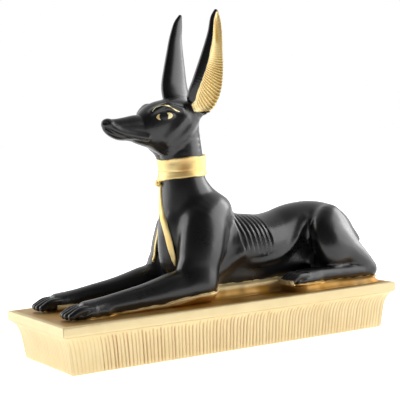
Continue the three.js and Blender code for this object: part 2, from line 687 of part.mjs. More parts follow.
// Merges vertices along the edges that change the skin least, until so many faces are left.
class Thinner {
  constructor({ positions, triangles }) {
    this.positions = positions;
    this.triangles = triangles;
    const vertexCount = positions.length / 3;
    this.faceCount = triangles.length / 3;
    this.quadrics = new Float64Array(vertexCount * 10);
    this.stamps = new Int32Array(vertexCount);
    this.faces = Array.from({ length: vertexCount }, () => []);
    for (let face = 0; face < this.faceCount; face += 1) {
      const plane = this.plane(face, -1, null);
      for (const corner of this.corners(face)) {
        this.faces[corner].push(face);
        this.addPlane(corner, plane);
      }
    }
  }

  corners(face) {
    return [this.triangles[3 * face], this.triangles[3 * face + 1], this.triangles[3 * face + 2]];
  }

  point(vertex) {
    return [this.positions[3 * vertex], this.positions[3 * vertex + 1], this.positions[3 * vertex + 2]];
  }

  // Unit normal, offset and twice the area of a face, with one vertex moved if asked.
  plane(face, moved, place) {
    const [a, b, c] = this.corners(face).map((corner) => (corner === moved ? place : this.point(corner)));
    const u = [b[0] - a[0], b[1] - a[1], b[2] - a[2]];
    const v = [c[0] - a[0], c[1] - a[1], c[2] - a[2]];
    const n = [u[1] * v[2] - u[2] * v[1], u[2] * v[0] - u[0] * v[2], u[0] * v[1] - u[1] * v[0]];
    const area = Math.hypot(...n);
    const unit = area > 1e-12 ? n.map((value) => value / area) : [0, 0, 0];
    return { unit, offset: -(unit[0] * a[0] + unit[1] * a[1] + unit[2] * a[2]), area };
  }

  addPlane(vertex, { unit: [a, b, c], offset: d, area }) {
    const terms = [a * a, a * b, a * c, a * d, b * b, b * c, b * d, c * c, c * d, d * d];
    for (let term = 0; term < 10; term += 1) this.quadrics[10 * vertex + term] += terms[term] * area;
  }

  error(q, [x, y, z]) {
    return (
      q[0] * x * x + 2 * q[1] * x * y + 2 * q[2] * x * z + 2 * q[3] * x + q[4] * y * y +
      2 * q[5] * y * z + 2 * q[6] * y + q[7] * z * z + 2 * q[8] * z + q[9]
    );
  }

  edge(a, b) {
    const q = Array.from(
      { length: 10 },
      (_, term) => this.quadrics[10 * a + term] + this.quadrics[10 * b + term],
    );
    const from = this.point(a);
    const to = this.point(b);
    const middle = from.map((value, axis) => (value + to[axis]) / 2);
    const choices = [middle, from, to];
    const matrix = new THREE.Matrix3().set(q[0], q[1], q[2], q[1], q[4], q[5], q[2], q[5], q[7]);
    const scale = q[0] + q[4] + q[7];
    const length = Math.hypot(from[0] - to[0], from[1] - to[1], from[2] - to[2]);
    if (Math.abs(matrix.determinant()) > LEAST_STIFFNESS * scale ** 3) {
      const best = new THREE.Vector3(-q[3], -q[6], -q[8]).applyMatrix3(matrix.invert());
      const away = Math.hypot(best.x - middle[0], best.y - middle[1], best.z - middle[2]);
      if (away < FARTHEST_MERGE * length) choices.unshift([best.x, best.y, best.z]);
    }
    let cheapest = { cost: Infinity };
    for (const place of choices) {
      const cost = this.error(q, place);
      if (cost < cheapest.cost) cheapest = { cost, place };
    }
    const weight = middle[2] > FINE_ABOVE ? FINE_WEIGHT : 1;
    return {
      a, b, q, place: cheapest.place, cost: weight * (cheapest.cost + LENGTH_PENALTY * length * length),
      stamp: this.stamps[a] + this.stamps[b],
    };
  }

  neighbours(vertex) {
    const found = new Set();
    for (const face of this.faces[vertex]) {
      for (const corner of this.corners(face)) if (corner !== vertex) found.add(corner);
    }
    return found;
  }

  // True if merging keeps the skin closed and turns no face over.
  canMerge({ a, b, place }) {
    const around = this.neighbours(b);
    let shared = 0;
    for (const vertex of this.neighbours(a)) if (around.has(vertex)) shared += 1;
    if (shared !== 2) return false;
    for (const [vertex, other] of [[a, b], [b, a]]) {
      for (const face of this.faces[vertex]) {
        if (this.corners(face).includes(other)) continue;
        const before = this.plane(face, -1, null);
        const after = this.plane(face, vertex, place);
        const turn = before.unit.reduce((sum, value, axis) => sum + value * after.unit[axis], 0);
        if (turn < LEAST_FACING || after.area < LEAST_AREA) return false;
      }
    }
    return true;
  }

  merge({ a, b, place, q }, heap) {
    this.positions.set(place, 3 * a);
    this.quadrics.set(q, 10 * a);
    const kept = [];
    for (const face of this.faces[b]) {
      const corners = this.corners(face);
      if (corners.includes(a)) {
        this.faceCount -= 1;
        for (const corner of corners) {
          if (corner !== b) this.faces[corner] = this.faces[corner].filter((other) => other !== face);
        }
        this.triangles.fill(-1, 3 * face, 3 * face + 3);
        continue;
      }
      this.triangles[3 * face + corners.indexOf(b)] = a;
      kept.push(face);
    }
    this.faces[a].push(...kept);
    this.faces[b] = [];
    this.stamps[a] += 1;
    this.stamps[b] += 1;
    for (const vertex of this.neighbours(a)) heap.push(this.edge(a, vertex));
  }

  thin(target) {
    const heap = new EdgeHeap();
    for (let vertex = 0; vertex < this.faces.length; vertex += 1) {
      for (const other of this.neighbours(vertex)) {
        if (other > vertex) heap.push(this.edge(vertex, other));
      }
    }
    while (this.faceCount > target && heap.items.length > 0) {
      const edge = heap.pop();
      const stale = this.stamps[edge.a] + this.stamps[edge.b] !== edge.stamp;
      const gone = this.faces[edge.a].length === 0 || this.faces[edge.b].length === 0;
      if (!stale && !gone && this.canMerge(edge)) this.merge(edge, heap);
    }
    return this.geometry();
  }

  geometry() {
    const geometry = new THREE.BufferGeometry();
    geometry.setAttribute("position", new THREE.BufferAttribute(Float32Array.from(this.positions), 3));
    geometry.setIndex(Array.from(this.triangles).filter((vertex) => vertex >= 0));
    return geometry;
  }
}

function toSolid(geometry) {
  const plain = geometry.clone();
  plain.deleteAttribute("normal");
  plain.deleteAttribute("uv");
  const merged = mergeVertices(plain, WELD);
  const vertProperties = Float32Array.from(merged.attributes.position.array);
  const triVerts = Uint32Array.from(merged.index.array);
  return new wasm.Manifold(new wasm.Mesh({ numProp: 3, vertProperties, triVerts }));
}

function toGeometry(solid) {
  const mesh = solid.getMesh();
  const geometry = new THREE.BufferGeometry();
  geometry.setAttribute("position", new THREE.BufferAttribute(Float32Array.from(mesh.vertProperties), 3));
  geometry.setIndex(new THREE.BufferAttribute(Uint32Array.from(mesh.triVerts), 1));
  geometry.computeVertexNormals();
  return geometry;
}

// How far the skirt stands in from the slab's edge, so far below the slab.
function skirtInset(below) {
  const curve = Math.min(below / CAVETTO_HEIGHT, 1);
  return CAVETTO_DEPTH * Math.sqrt(1 - (1 - curve) ** 2) + (FOOT_BATTER * below) / SKIRT_HEIGHT;
}

// One side of the skirt at one level, from corner to corner, with a crest and a valley for each flute.
function skirtSide(side, below, depth, steps) {
  const { from, run, inward } = side;
  const inset = skirtInset(Math.max(below, 0));
  const halfLength = PLINTH_LENGTH / 2 - inset;
  const halfWidth = PLINTH_WIDTH / 2 - inset;
  const length = 2 * (run[0] !== 0 ? halfLength : halfWidth) - 2 * CORNER_CUT;
  return Array.from({ length: steps + 1 }, (_, point) => {
    const along = CORNER_CUT + (length * point) / steps;
    const cutIn = point % 2 === 1 ? depth : 0;
    const x = from[0] * halfLength + run[0] * along + inward[0] * cutIn;
    const y = from[1] * halfWidth + run[1] * along + inward[1] * cutIn;
    return new THREE.Vector3(x, y, SKIRT_HEIGHT - below);
  });
}

// The skirt from inside the slab down to the foot. Its flutes start a little under the slab.
function skirtGeometry() {
  const alongCount = Math.round((PLINTH_LENGTH - 2 * CAVETTO_DEPTH) / FLUTE_PITCH);
  const acrossCount = Math.round((PLINTH_WIDTH - 2 * CAVETTO_DEPTH) / FLUTE_PITCH);
  const sides = [
    { from: [-1, -1], run: [1, 0], inward: [0, 1], flutes: alongCount },
    { from: [1, -1], run: [0, 1], inward: [-1, 0], flutes: acrossCount },
    { from: [1, 1], run: [-1, 0], inward: [0, -1], flutes: alongCount },
    { from: [-1, 1], run: [0, -1], inward: [1, 0], flutes: acrossCount },
  ];
  const levels = [
    { below: -ROOT, depth: 0, plain: true },
    { below: FLUTE_TOP_GAP / 2, depth: 0, plain: true },
    { below: FLUTE_TOP_GAP, depth: 0, plain: false },
    { below: FLUTE_TOP_GAP + FLUTE_FADE, depth: FLUTE_DEPTH, plain: false },
    { below: CAVETTO_HEIGHT, depth: FLUTE_DEPTH, plain: false },
    { below: SKIRT_HEIGHT, depth: FLUTE_DEPTH, plain: false },
  ];
  const positions = [];
  const rings = levels.map(({ below, depth, plain }) =>
    sides.map((side) =>
      skirtSide(side, below, depth, plain ? 1 : 2 * side.flutes).map((point) => {
        positions.push(point.x, point.y, point.z);
        return { place: new THREE.Vector2(point.x, point.y), index: positions.length / 3 - 1 };
      }),
    ),
  );
  const index = [];
  for (let level = 0; level < levels.length - 1; level += 1) {
    stitch(rings[level].flat(), rings[level + 1].flat(), rings[level], rings[level + 1], index);
  }
  const cap = (ring, turn) => {
    for (const face of THREE.ShapeUtils.triangulateShape(ring.map(({ place }) => place), [])) {
      const [a, b, c] = face.map((corner) => ring[corner].index);
      index.push(...(turn ? [a, c, b] : [a, b, c]));
    }
  };
  cap(rings[0].flat(), false);
  cap(rings[levels.length - 1].flat(), true);
  const geometry = new THREE.BufferGeometry();
  geometry.setAttribute("position", new THREE.Float32BufferAttribute(positions, 3));
  geometry.setIndex(index);
  return geometry;
}

// Faces between two levels. Where the upper one is plain, each of its sides fans out to the flutes.
function stitch(upperRing, lowerRing, upperSides, lowerSides, index) {
  if (upperRing.length === lowerRing.length) {
    upperRing.forEach((upper, point) => {
      const next = (point + 1) % upperRing.length;
      index.push(upper.index, lowerRing[point].index, lowerRing[next].index);
      index.push(upper.index, lowerRing[next].index, upperRing[next].index);
    });
    return;
  }
  upperSides.forEach((upper, side) => {
    const lower = lowerSides[side];
    const nextUpper = upperSides[(side + 1) % upperSides.length][0].index;
    const nextLower = lowerSides[(side + 1) % lowerSides.length][0].index;
    const middle = Math.floor(lower.length / 2);
    for (let point = 0; point < lower.length - 1; point += 1) {
      const apex = point < middle ? upper[0] : upper[1];
      index.push(apex.index, lower[point].index, lower[point + 1].index);
    }
    index.push(upper[0].index, lower[middle].index, upper[1].index);
    index.push(upper[1].index, lower[lower.length - 1].index, nextLower);
    index.push(upper[1].index, nextLower, nextUpper);
  });
}

function slabGeometry() {
  const round = SLAB_EDGE_ROUND;
  const x = PLINTH_LENGTH / 2 - round;
  const y = PLINTH_WIDTH / 2 - round;
  const outline = new THREE.Shape([
    new THREE.Vector2(-x, -y), new THREE.Vector2(x, -y), new THREE.Vector2(x, y), new THREE.Vector2(-x, y),
  ]);
  const geometry = new THREE.ExtrudeGeometry(outline, {
    depth: SLAB_THICKNESS - 2 * round,
    bevelEnabled: true,
    bevelThickness: round,
    bevelSize: round,
    bevelSegments: 2,
    steps: 1,
  });
  return geometry.translate(0, 0, PLINTH_HEIGHT - SLAB_THICKNESS + round);
}

function figureX(share) {
  return -PLINTH_LENGTH / 2 + TOE_MARGIN + (share - TOE_SHARE) * UNIT;
}

// A raised bed, grown on every side by a clearance when it is used as a cutter.
function bedGeometry({ frontShare, rearShare, width, height, fall }, clearance) {
  const front = figureX(frontShare) - clearance;
  const rear = figureX(rearShare) + clearance;
  const half = width / 2 + clearance;
  const radius = BED_CORNER + clearance;
  const outline = new THREE.Shape();
  outline.absarc(rear - radius, -half + radius, radius, -Math.PI / 2, 0, false);
  outline.absarc(rear - radius, half - radius, radius, 0, Math.PI / 2, false);
  outline.absarc(front + radius, half - radius, radius, Math.PI / 2, Math.PI, false);
  outline.absarc(front + radius, -half + radius, radius, Math.PI, 1.5 * Math.PI, false);
  const geometry = new THREE.ExtrudeGeometry(outline, {
    depth: ROOT + height - BED_ROUND + clearance,
    bevelEnabled: true,
    bevelThickness: BED_ROUND,
    bevelSize: BED_ROUND,
    bevelOffset: -BED_ROUND,
    bevelSegments: 2,
    curveSegments: 4,
    steps: 1,
  });
  geometry.translate(-front, 0, PLINTH_HEIGHT - ROOT);
  const lean = new THREE.Matrix4().makeShear(0, -fall, 0, 0, 0, 0);
  return geometry.applyMatrix4(lean).translate(front, 0, 0);
}

const BEDS = [
  { frontShare: ELBOW_SHARE, rearShare: KNEE_SHARE, width: BED_WIDTH, height: BED_HEIGHT, fall: 0 },
  {
    frontShare: HIND_TOE_SHARE, rearShare: HEEL_SHARE,
    width: HIND_BED_WIDTH, height: HIND_BED_HEIGHT, fall: HIND_BED_FALL,
  },
];

function makePlinth() {
  const skirt = toSolid(skirtGeometry());
  const block = skirt.add(toSolid(slabGeometry()));
  return toGeometry(BEDS.reduce((joined, bed) => joined.add(toSolid(bedGeometry(bed, 0))), block));
}

function makeJackal() {
  const { body, head, cloth } = sculptJackal();
  const grid = new Grid(GRID_LOW, GRID_HIGH, GRID_STEP).fill(body);
  grid.join(new Grid(GRID_LOW, GRID_HIGH, GRID_STEP).fill(head), NECK_BLEND);
  grid.join(new Grid(GRID_LOW, GRID_HIGH, GRID_STEP).fill(cloth), CLOTH_BLEND);
  closePinches(grid);
  const skin = new Thinner(skinOf(grid)).thin(FIGURE_FACES);
  skin.scale(UNIT, UNIT, UNIT);
  skin.translate(figureX(0), 0, PLINTH_HEIGHT);
  const underside = new THREE.BoxGeometry(2 * PLINTH_LENGTH, 2 * PLINTH_WIDTH, PLINTH_HEIGHT);
  underside.translate(0, 0, PLINTH_HEIGHT / 2 + CASTING_GAP);
  const cutters = [underside, ...BEDS.map((bed) => bedGeometry(bed, CASTING_GAP))];
  return toGeometry(cutters.reduce((left, cutter) => left.subtract(toSolid(cutter)), toSolid(skin)));
}

function namedMesh(name, geometry, paint) {
  const mesh = new THREE.Mesh(geometry, new THREE.MeshStandardMaterial(paint));
  mesh.name = name;
  return mesh;
}

const figure = new THREE.Group();
figure.add(namedMesh("plinth", makePlinth(), GOLD_PAINT));
figure.add(namedMesh("jackal", makeJackal(), BLACK_PAINT));

export default figure;
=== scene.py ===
import math

import bmesh
import bpy
import numpy as np
from mathutils import Matrix, Vector


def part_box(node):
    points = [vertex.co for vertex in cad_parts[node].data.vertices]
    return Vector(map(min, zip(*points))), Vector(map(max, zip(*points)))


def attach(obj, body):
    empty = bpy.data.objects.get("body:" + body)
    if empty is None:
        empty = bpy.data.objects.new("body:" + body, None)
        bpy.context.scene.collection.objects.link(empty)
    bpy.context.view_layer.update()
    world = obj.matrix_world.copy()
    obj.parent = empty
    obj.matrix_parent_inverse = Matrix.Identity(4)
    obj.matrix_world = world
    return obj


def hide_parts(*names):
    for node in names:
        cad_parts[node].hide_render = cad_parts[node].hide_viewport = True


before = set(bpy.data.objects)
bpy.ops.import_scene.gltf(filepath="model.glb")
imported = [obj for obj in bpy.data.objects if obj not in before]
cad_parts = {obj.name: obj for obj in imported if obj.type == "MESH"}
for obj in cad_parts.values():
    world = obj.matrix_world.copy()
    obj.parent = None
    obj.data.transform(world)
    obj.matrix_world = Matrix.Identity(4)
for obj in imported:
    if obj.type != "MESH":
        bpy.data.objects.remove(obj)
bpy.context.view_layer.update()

# Sizes in millimetres, from the frame
MM = 0.001
plinth_low, plinth_high = (np.array(corner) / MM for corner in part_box("plinth"))
figure_low = np.array(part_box("jackal")[0]) / MM
CASTING_GAP = 0.3

# The figure is laid out in shares of its own length: SPAN of them from the toes to the hocks
TOE_MARGIN = 7.5
HOCK_MARGIN = 0.7
SPAN = 211.8
TOE_SHARE = -102.5
SLAB_TOP = figure_low[2] - CASTING_GAP
PLINTH_LENGTH = plinth_high[0] - plinth_low[0]
PLINTH_WIDTH = plinth_high[1] - plinth_low[1]
UNIT = (PLINTH_LENGTH - TOE_MARGIN - HOCK_MARGIN) / SPAN
FIGURE_X = plinth_low[0] + TOE_MARGIN - TOE_SHARE * UNIT

# Plinth, and in shares where the beds on it begin and end
SLAB_THICKNESS = 5.6
CAVETTO_DEPTH = 4
CAVETTO_HEIGHT = 9.5
FOOT_BATTER = 2.8
FLUTE_PITCH = 2.25
BED_HEIGHT = plinth_high[2] - SLAB_TOP
BED_WIDTH = 33
HIND_BED_WIDTH = 63
ELBOW_SHARE = -10
KNEE_SHARE = 62
HIND_TOE_SHARE = 43
HEEL_SHARE = 106.5
HIND_BED_HEIGHT = 4.6
HIND_BED_FALL = 0.033

# Grid steps in shares
BODY_STEP = 1.1
HEAD_STEP = 0.5
EAR_STEP = 0.3
CLOTH_STEP = 0.35
BED_STEP = 0.7
SMOOTHING = 3
FINE_CUTS = 2

FAR = 1000.0
LEAST_HALF = 0.05
STEPS_PER_ROW = 5
HEAD_TURN = math.radians(8)
HEAD_PIVOT = np.array([-10, 0, 100.5])
NECK_BLEND = 7
COLLAR_SEAM = 78
PROBE_SIDE = 34
PROBE_TOP = 70


# Forms of the sculpture: swept limbs and lumps that blend into each other

def catmull_rom(rows, steps):
    """A smooth curve through the rows, with so many steps from each row to the next."""
    rows = np.asarray(rows, float)
    padded = np.vstack([2 * rows[0] - rows[1], rows, 2 * rows[-1] - rows[-2]])
    t = (np.arange(steps) / steps)[:, None]
    pieces = []
    for first in range(len(rows) - 1):
        before, start, end, after = padded[first:first + 4]
        leave = (end - before) / 2
        arrive = (after - start) / 2
        pieces.append(
            (2 * t**3 - 3 * t**2 + 1) * start + (t**3 - 2 * t**2 + t) * leave
            + (3 * t**2 - 2 * t**3) * end + (t**3 - t**2) * arrive
        )
    pieces.append(rows[-1:])
    return np.vstack(pieces)


def ellipsoid_distance(offsets, halves):
    """Nearly the distance to an ellipsoid, below zero inside it."""
    scaled = offsets / halves
    level = np.sqrt((scaled**2).sum(1))
    slope = np.sqrt(((scaled / halves) ** 2).sum(1))
    return level * (level - 1) / np.maximum(slope, 1e-9)


def blend_min(a, b, blend):
    """The lesser of two distances, with a fillet where they are alike."""
    near = np.maximum(blend - np.abs(a - b), 0) / blend
    return np.minimum(a, b) - near * near * blend / 4


class Sweep:
    """A limb: an elliptical section swept along a curve through its rows."""

    def __init__(self, rows, across):
        fine = catmull_rom(rows, STEPS_PER_ROW)
        fine[:, 3:] = np.maximum(fine[:, 3:], LEAST_HALF)
        self.links = []
        for start, end in zip(fine[:-1], fine[1:]):
            along = end[:3] - start[:3]
            length = np.linalg.norm(along)
            along = along / length
            side = np.array(across, float)
            side -= along * (side @ along)
            side /= np.linalg.norm(side)
            axes = np.stack([side, np.cross(along, side), along], 1)
            self.links.append((start[:3], length, axes, start[3:], end[3:]))
        reach = fine[:, 3:].max(1, keepdims=True)
        self.low = (fine[:, :3] - reach).min(0)
        self.high = (fine[:, :3] + reach).max(0)

    def distance(self, points):
        nearest = np.full(len(points), FAR)
        for start, length, axes, half_start, half_end in self.links:
            local = (points - start) @ axes
            run = np.clip(local[:, 2], 0, length)
            local[:, 2] -= run
            share = (run / length)[:, None]
            halves = half_start * (1 - share) + half_end * share
            halves = np.concatenate([halves, halves.min(1, keepdims=True)], 1)
            nearest = np.minimum(nearest, ellipsoid_distance(local, halves))
        return nearest


class Lump:
    """A muscle or a bead: an ellipsoid turned about the upright axis."""

    def __init__(self, centre, halves, turn_degrees):
        turn = math.radians(turn_degrees)
        c, s = math.cos(turn), math.sin(turn)
        self.centre = np.array(centre, float)
        self.halves = np.array(halves, float)
        self.axes = np.array([[c, -s, 0], [s, c, 0], [0, 0, 1]])
        self.low = self.centre - max(halves)
        self.high = self.centre + max(halves)

    def distance(self, points):
        return ellipsoid_distance((points - self.centre) @ self.axes, self.halves)


class Sculpture:
    """Forms in the order in which they are put on or cut away, as a rule the same on both sides."""

    def __init__(self, mirrored=True):
        self.forms = []
        self.mirrored = mirrored

    def add(self, blend, rows, across=(0, 1, 0)):
        self.forms.append((False, blend, Sweep(rows, across)))

    def cut(self, blend, rows, across=(0, 1, 0)):
        self.forms.append((True, blend, Sweep(rows, across)))

    def lump(self, blend, centre, halves, turn_degrees=0, cut=False):
        self.forms.append((cut, blend, Lump(centre, halves, turn_degrees)))

    def distance(self, points, reach=3.0):
        folded = np.array(points, float)
        if self.mirrored:
            folded[:, 1] = np.abs(folded[:, 1])
        values = np.full(len(points), FAR)
        for is_cut, blend, form in self.forms:
            grow = blend + reach
            near = np.all((folded > form.low - grow) & (folded < form.high + grow), axis=1)
            if not near.any():
                continue
            own = form.distance(folded[near])
            if is_cut:
                values[near] = -blend_min(-values[near], own, blend)
            else:
                values[near] = blend_min(values[near], own, blend)
        return values


def skin_along(sculpture, probes, outside, inside):
    """Where straight probes, from outside to inside, meet the skin."""
    outer = np.full(len(probes(outside)), float(outside))
    inner = np.full_like(outer, inside)
    for _ in range(12):
        middle = (outer + inner) / 2
        hit = sculpture.distance(probes(middle)) < 0
        inner = np.where(hit, middle, inner)
        outer = np.where(hit, outer, middle)
    return inner


def side_of(sculpture, x, z, outside=PROBE_SIDE):
    """How far out the skin lies at each x and z."""
    return skin_along(sculpture, lambda out: np.stack([x, np.zeros_like(x) + out, z], 1), outside, 1)


def on_flank(body, rows, sink):
    """Rows of x, z and half thickness laid on the flank, sunk into it so far."""
    x, z, half = catmull_rom(rows, 3).T
    return np.stack([x, side_of(body, x, z) - sink, z, half, half], 1)


def sculpt_body():
    body = Sculpture()
    # Trunk, then lower belly, then neck and chest
    body.add(1, [
        (-4, 0, 30.5, 15, 22), (14, 0, 29, 18, 19.5), (26, 0, 29, 19.6, 18), (38, 0, 28.5, 18.6, 17.2),
        (50, 0, 30.6, 16, 16.4), (62, 0, 33, 14.5, 17.2), (76, 0, 33, 14.5, 17.8), (88, 0, 30.5, 14, 17),
        (96, 0, 25, 12, 13.5), (99.5, 0, 16.5, 8.5, 9),
    ])
    body.add(6, [
        (0, 0, 11, 12, 13), (22, 0, 11, 14, 12.5), (42, 0, 12.5, 13, 12), (60, 0, 15, 12, 12),
        (80, 0, 13, 12, 11),
    ])
    body.add(9, [
        (-11.4, 0, 102, 9.8, 10.6), (-12.2, 0, 85.5, 11.8, 12.9), (-11.7, 0, 73, 12.3, 13),
        (-11, 0, 64.5, 14, 14.1), (-8.6, 0, 55.5, 15.5, 17.5), (-5.8, 0, 45.5, 16, 22.3),
        (-7, 0, 32.5, 14.5, 22.5), (-8, 0, 20.5, 12, 20.5), (-6, 0, 12.5, 10, 16),
    ])
    # Throat under the jaw, then the muscle that runs down the neck from behind the jaw
    body.add(5, [(-27, 3, 90.6, 3.2, 3.2), (-22.6, 4.2, 85.5, 3.8, 3.1), (-19.6, 4.6, 80, 3.2, 2.4)])
    body.add(3, [
        (-8, 9.2, 104.5, 2.4, 2.6), (-12.4, 10, 99.5, 2.6, 2.8), (-17.6, 9.6, 94.5, 2.4, 2.6),
        (-23, 7.4, 89.5, 1.8, 2),
    ])
    # Shoulder blade and upper arm, foreleg along the slab, hollow of the elbow
    body.add(5, [
        (9, 6.5, 52.5, 6, 6.5), (3, 11, 50.5, 8.2, 10.5), (-6, 14.5, 44.5, 10, 14),
        (-10.5, 17, 32.5, 10.2, 14), (-13.5, 18.3, 22.5, 9.9, 12.5), (-15.5, 19, 12.5, 9, 10.5),
    ])
    body.add(5, [
        (-14, 19, 10.5, 9.5, 10.5), (-30, 19, 9.5, 8.8, 10.3), (-41, 19.2, 8.1, 8, 9),
        (-51, 19.4, 7.1, 7, 7.7), (-64, 19.8, 6.1, 6.1, 6.6), (-76, 20, 5.3, 5.8, 5.5),
        (-87, 20.5, 4.7, 6.6, 4.9),
    ])
    body.lump(3, (-22.5, 19, 22.5), (4.5, 5, 3.5))
    # Thigh and knee, shank, hamstring, buttock, metatarsus, inner side of the folded leg, tail
    body.add(3.5, [
        (86, 9, 37, 9, 12), (82, 15.5, 35, 8.6, 14), (79, 19.5, 30, 8.2, 15),
        (77, 21.5, 23, 7.5, 12.5), (78, 22.5, 17.5, 6, 8),
    ])
    body.add(5, [
        (76, 21, 26, 7, 10), (88, 21.5, 20, 7, 8.5), (97, 22, 13.5, 6, 7), (103.5, 22.3, 8, 4.8, 5.2),
    ])
    body.add(3, [
        (84.5, 13.5, 43, 4, 3.5), (90.5, 17.5, 33, 4, 3.4), (96.8, 20.5, 21, 3.6, 3.2),
        (103.6, 22.3, 10, 3.4, 3),
    ])
    body.add(2.5, [
        (84, 12.5, 39.5, 6, 6), (90.5, 13, 36.6, 5.5, 5), (96.3, 13.5, 29.5, 5, 4.5),
        (100.8, 13.8, 25.4, 3.4, 3.2),
    ])
    body.add(2, [
        (104.5, 22.3, 6.6, 4.8, 4.9), (92, 24, 7.1, 4.8, 4.3), (74, 25, 7.6, 4.6, 4.4),
        (60, 25.5, 8.2, 5.2, 4.6), (51, 26, 8.2, 5.8, 4.4),
    ])
    body.add(4, [(77, 13, 10, 9, 9), (86, 15.5, 9, 8, 8), (98, 17, 7, 6, 6)])
    body.add(4, [(97, 0, 33, 5, 5), (103, 0, 25, 4.5, 4.5), (105.2, 0, 15, 4, 4), (105.5, 0, 4, 3.6, 3.6)])
    # Folds of the flank and behind the elbow, round the hollow before the haunch
    flank = on_flank(body, [
        (66, 41, 1), (60.5, 36, 1.4), (56, 30, 1.7), (49.5, 24.3, 1.9), (41, 20.3, 1.9),
        (30, 18.6, 1.3), (23, 19, 0.6),
    ], 0.9)
    elbow = on_flank(body, [(-3, 12, 2.6), (5, 18, 2.2), (15, 25, 1.2)], 1.4)
    body.cut(5, [
        (72, 15.5, 51, 1.2, 1.2), (64.5, 18.5, 45, 1.6, 1.6), (61.5, 20.5, 36, 2.2, 2.2),
        (62, 21, 26, 2.4, 2.4), (66, 21.5, 18, 2, 2),
    ])
    body.add(3.5, flank)
    body.add(4.5, elbow)
    return body


def swell(value, middle, spread):
    """1 at the middle, falling off smoothly on both sides."""
    return np.exp(-(((value - middle) / spread) ** 2))


# Grooves between the ribs: where they start and their pitch along the back, the angle from the top of
# the back at which the flank begins, and how far round and how deep each of them goes
RIB_START = 15
RIB_PITCH = 3.1
BACK_EDGE = 57
RIB_ENDS = (93, 95, 98, 102, 105, 106, 94)
RIB_DEPTHS = (1.0, 0.65, 0.7, 0.75, 1.0, 0.7, 0.85)
RIB_END_DEPTH = 0.12


def cut_ribs(body):
    """Grooves between the ribs: faint and aslant across the back, deep on the flank."""
    grooves = []
    for rib, (last, depth) in enumerate(zip(RIB_ENDS, RIB_DEPTHS)):
        angle = np.linspace(20, last, 10)
        aslant = 2 * np.clip((angle - 40) / 37, -0.55, 0.5)
        lean = 1.6 * np.maximum(0, angle - BACK_EDGE) / 33
        x = RIB_START + RIB_PITCH * rib + aslant + lean
        y = 19.9 * np.sin(np.radians(angle))
        z = 28.5 + 18.4 * np.cos(np.radians(angle))
        deep = 0.3 + 0.2 * swell(angle, 38, 14) + depth * swell(angle, (BACK_EDGE + last) / 2, 14)
        deep[[0, -1]] = RIB_END_DEPTH
        on_back = angle < BACK_EDGE
        top = skin_along(body, lambda up: np.stack([x, y, np.zeros_like(x) + up], 1), PROBE_TOP, 10)
        grooves.append(np.stack([
            x, np.where(on_back, y, side_of(body, x, z)), np.where(on_back, top, z),
            np.where(on_back, 0.6, 0.8) * deep, np.where(on_back, 1.0, 0.8) * deep,
        ], 1))
    for rows in grooves:
        body.cut(0.9, rows)


def add_toes(body, paw, knuckle, tip, centre, height, spread, half):
    """Four toes side by side on their pad, from the paw at the rear to the tips in front."""
    sole = height - 2.3
    body.add(3, [
        (paw + 8, centre - 0.3, sole, spread * 1.5, 2.6), (tip + 6, centre, sole, spread * 1.8, 2.3),
    ])
    for place in (-1.5, -0.5, 0.5, 1.5):
        body.add(0.3, [
            (paw, centre + place * spread * 0.8, height + 0.6, half, half * 1.05),
            (knuckle, centre + place * spread * 0.95, height + 0.5, half, half * 1.15),
            (tip + abs(place) * 0.9, centre + place * spread, height - 2, half * 0.9, half * 0.95),
        ])


EAR_ACROSS = (1, 0.16, 0)
EAR_HOLLOW = [
    (-5.3, 12.9, 110.6, 4, 2.4), (-4.2, 14.4, 114, 6.6, 3), (-2.2, 16.9, 119.5, 8, 3.4),
    (-0.4, 19.3, 127, 7.4, 3.4), (1.5, 20.9, 137, 5.7, 3), (2.8, 21.3, 148.5, 3.9, 2.5),
    (4.4, 20.5, 160.5, 2.5, 1.8), (5.4, 19.4, 165.5, 1, 1),
]
EYE_CENTRE = np.array([-29.6, 9, 107.9])
EYE_TURN = 20


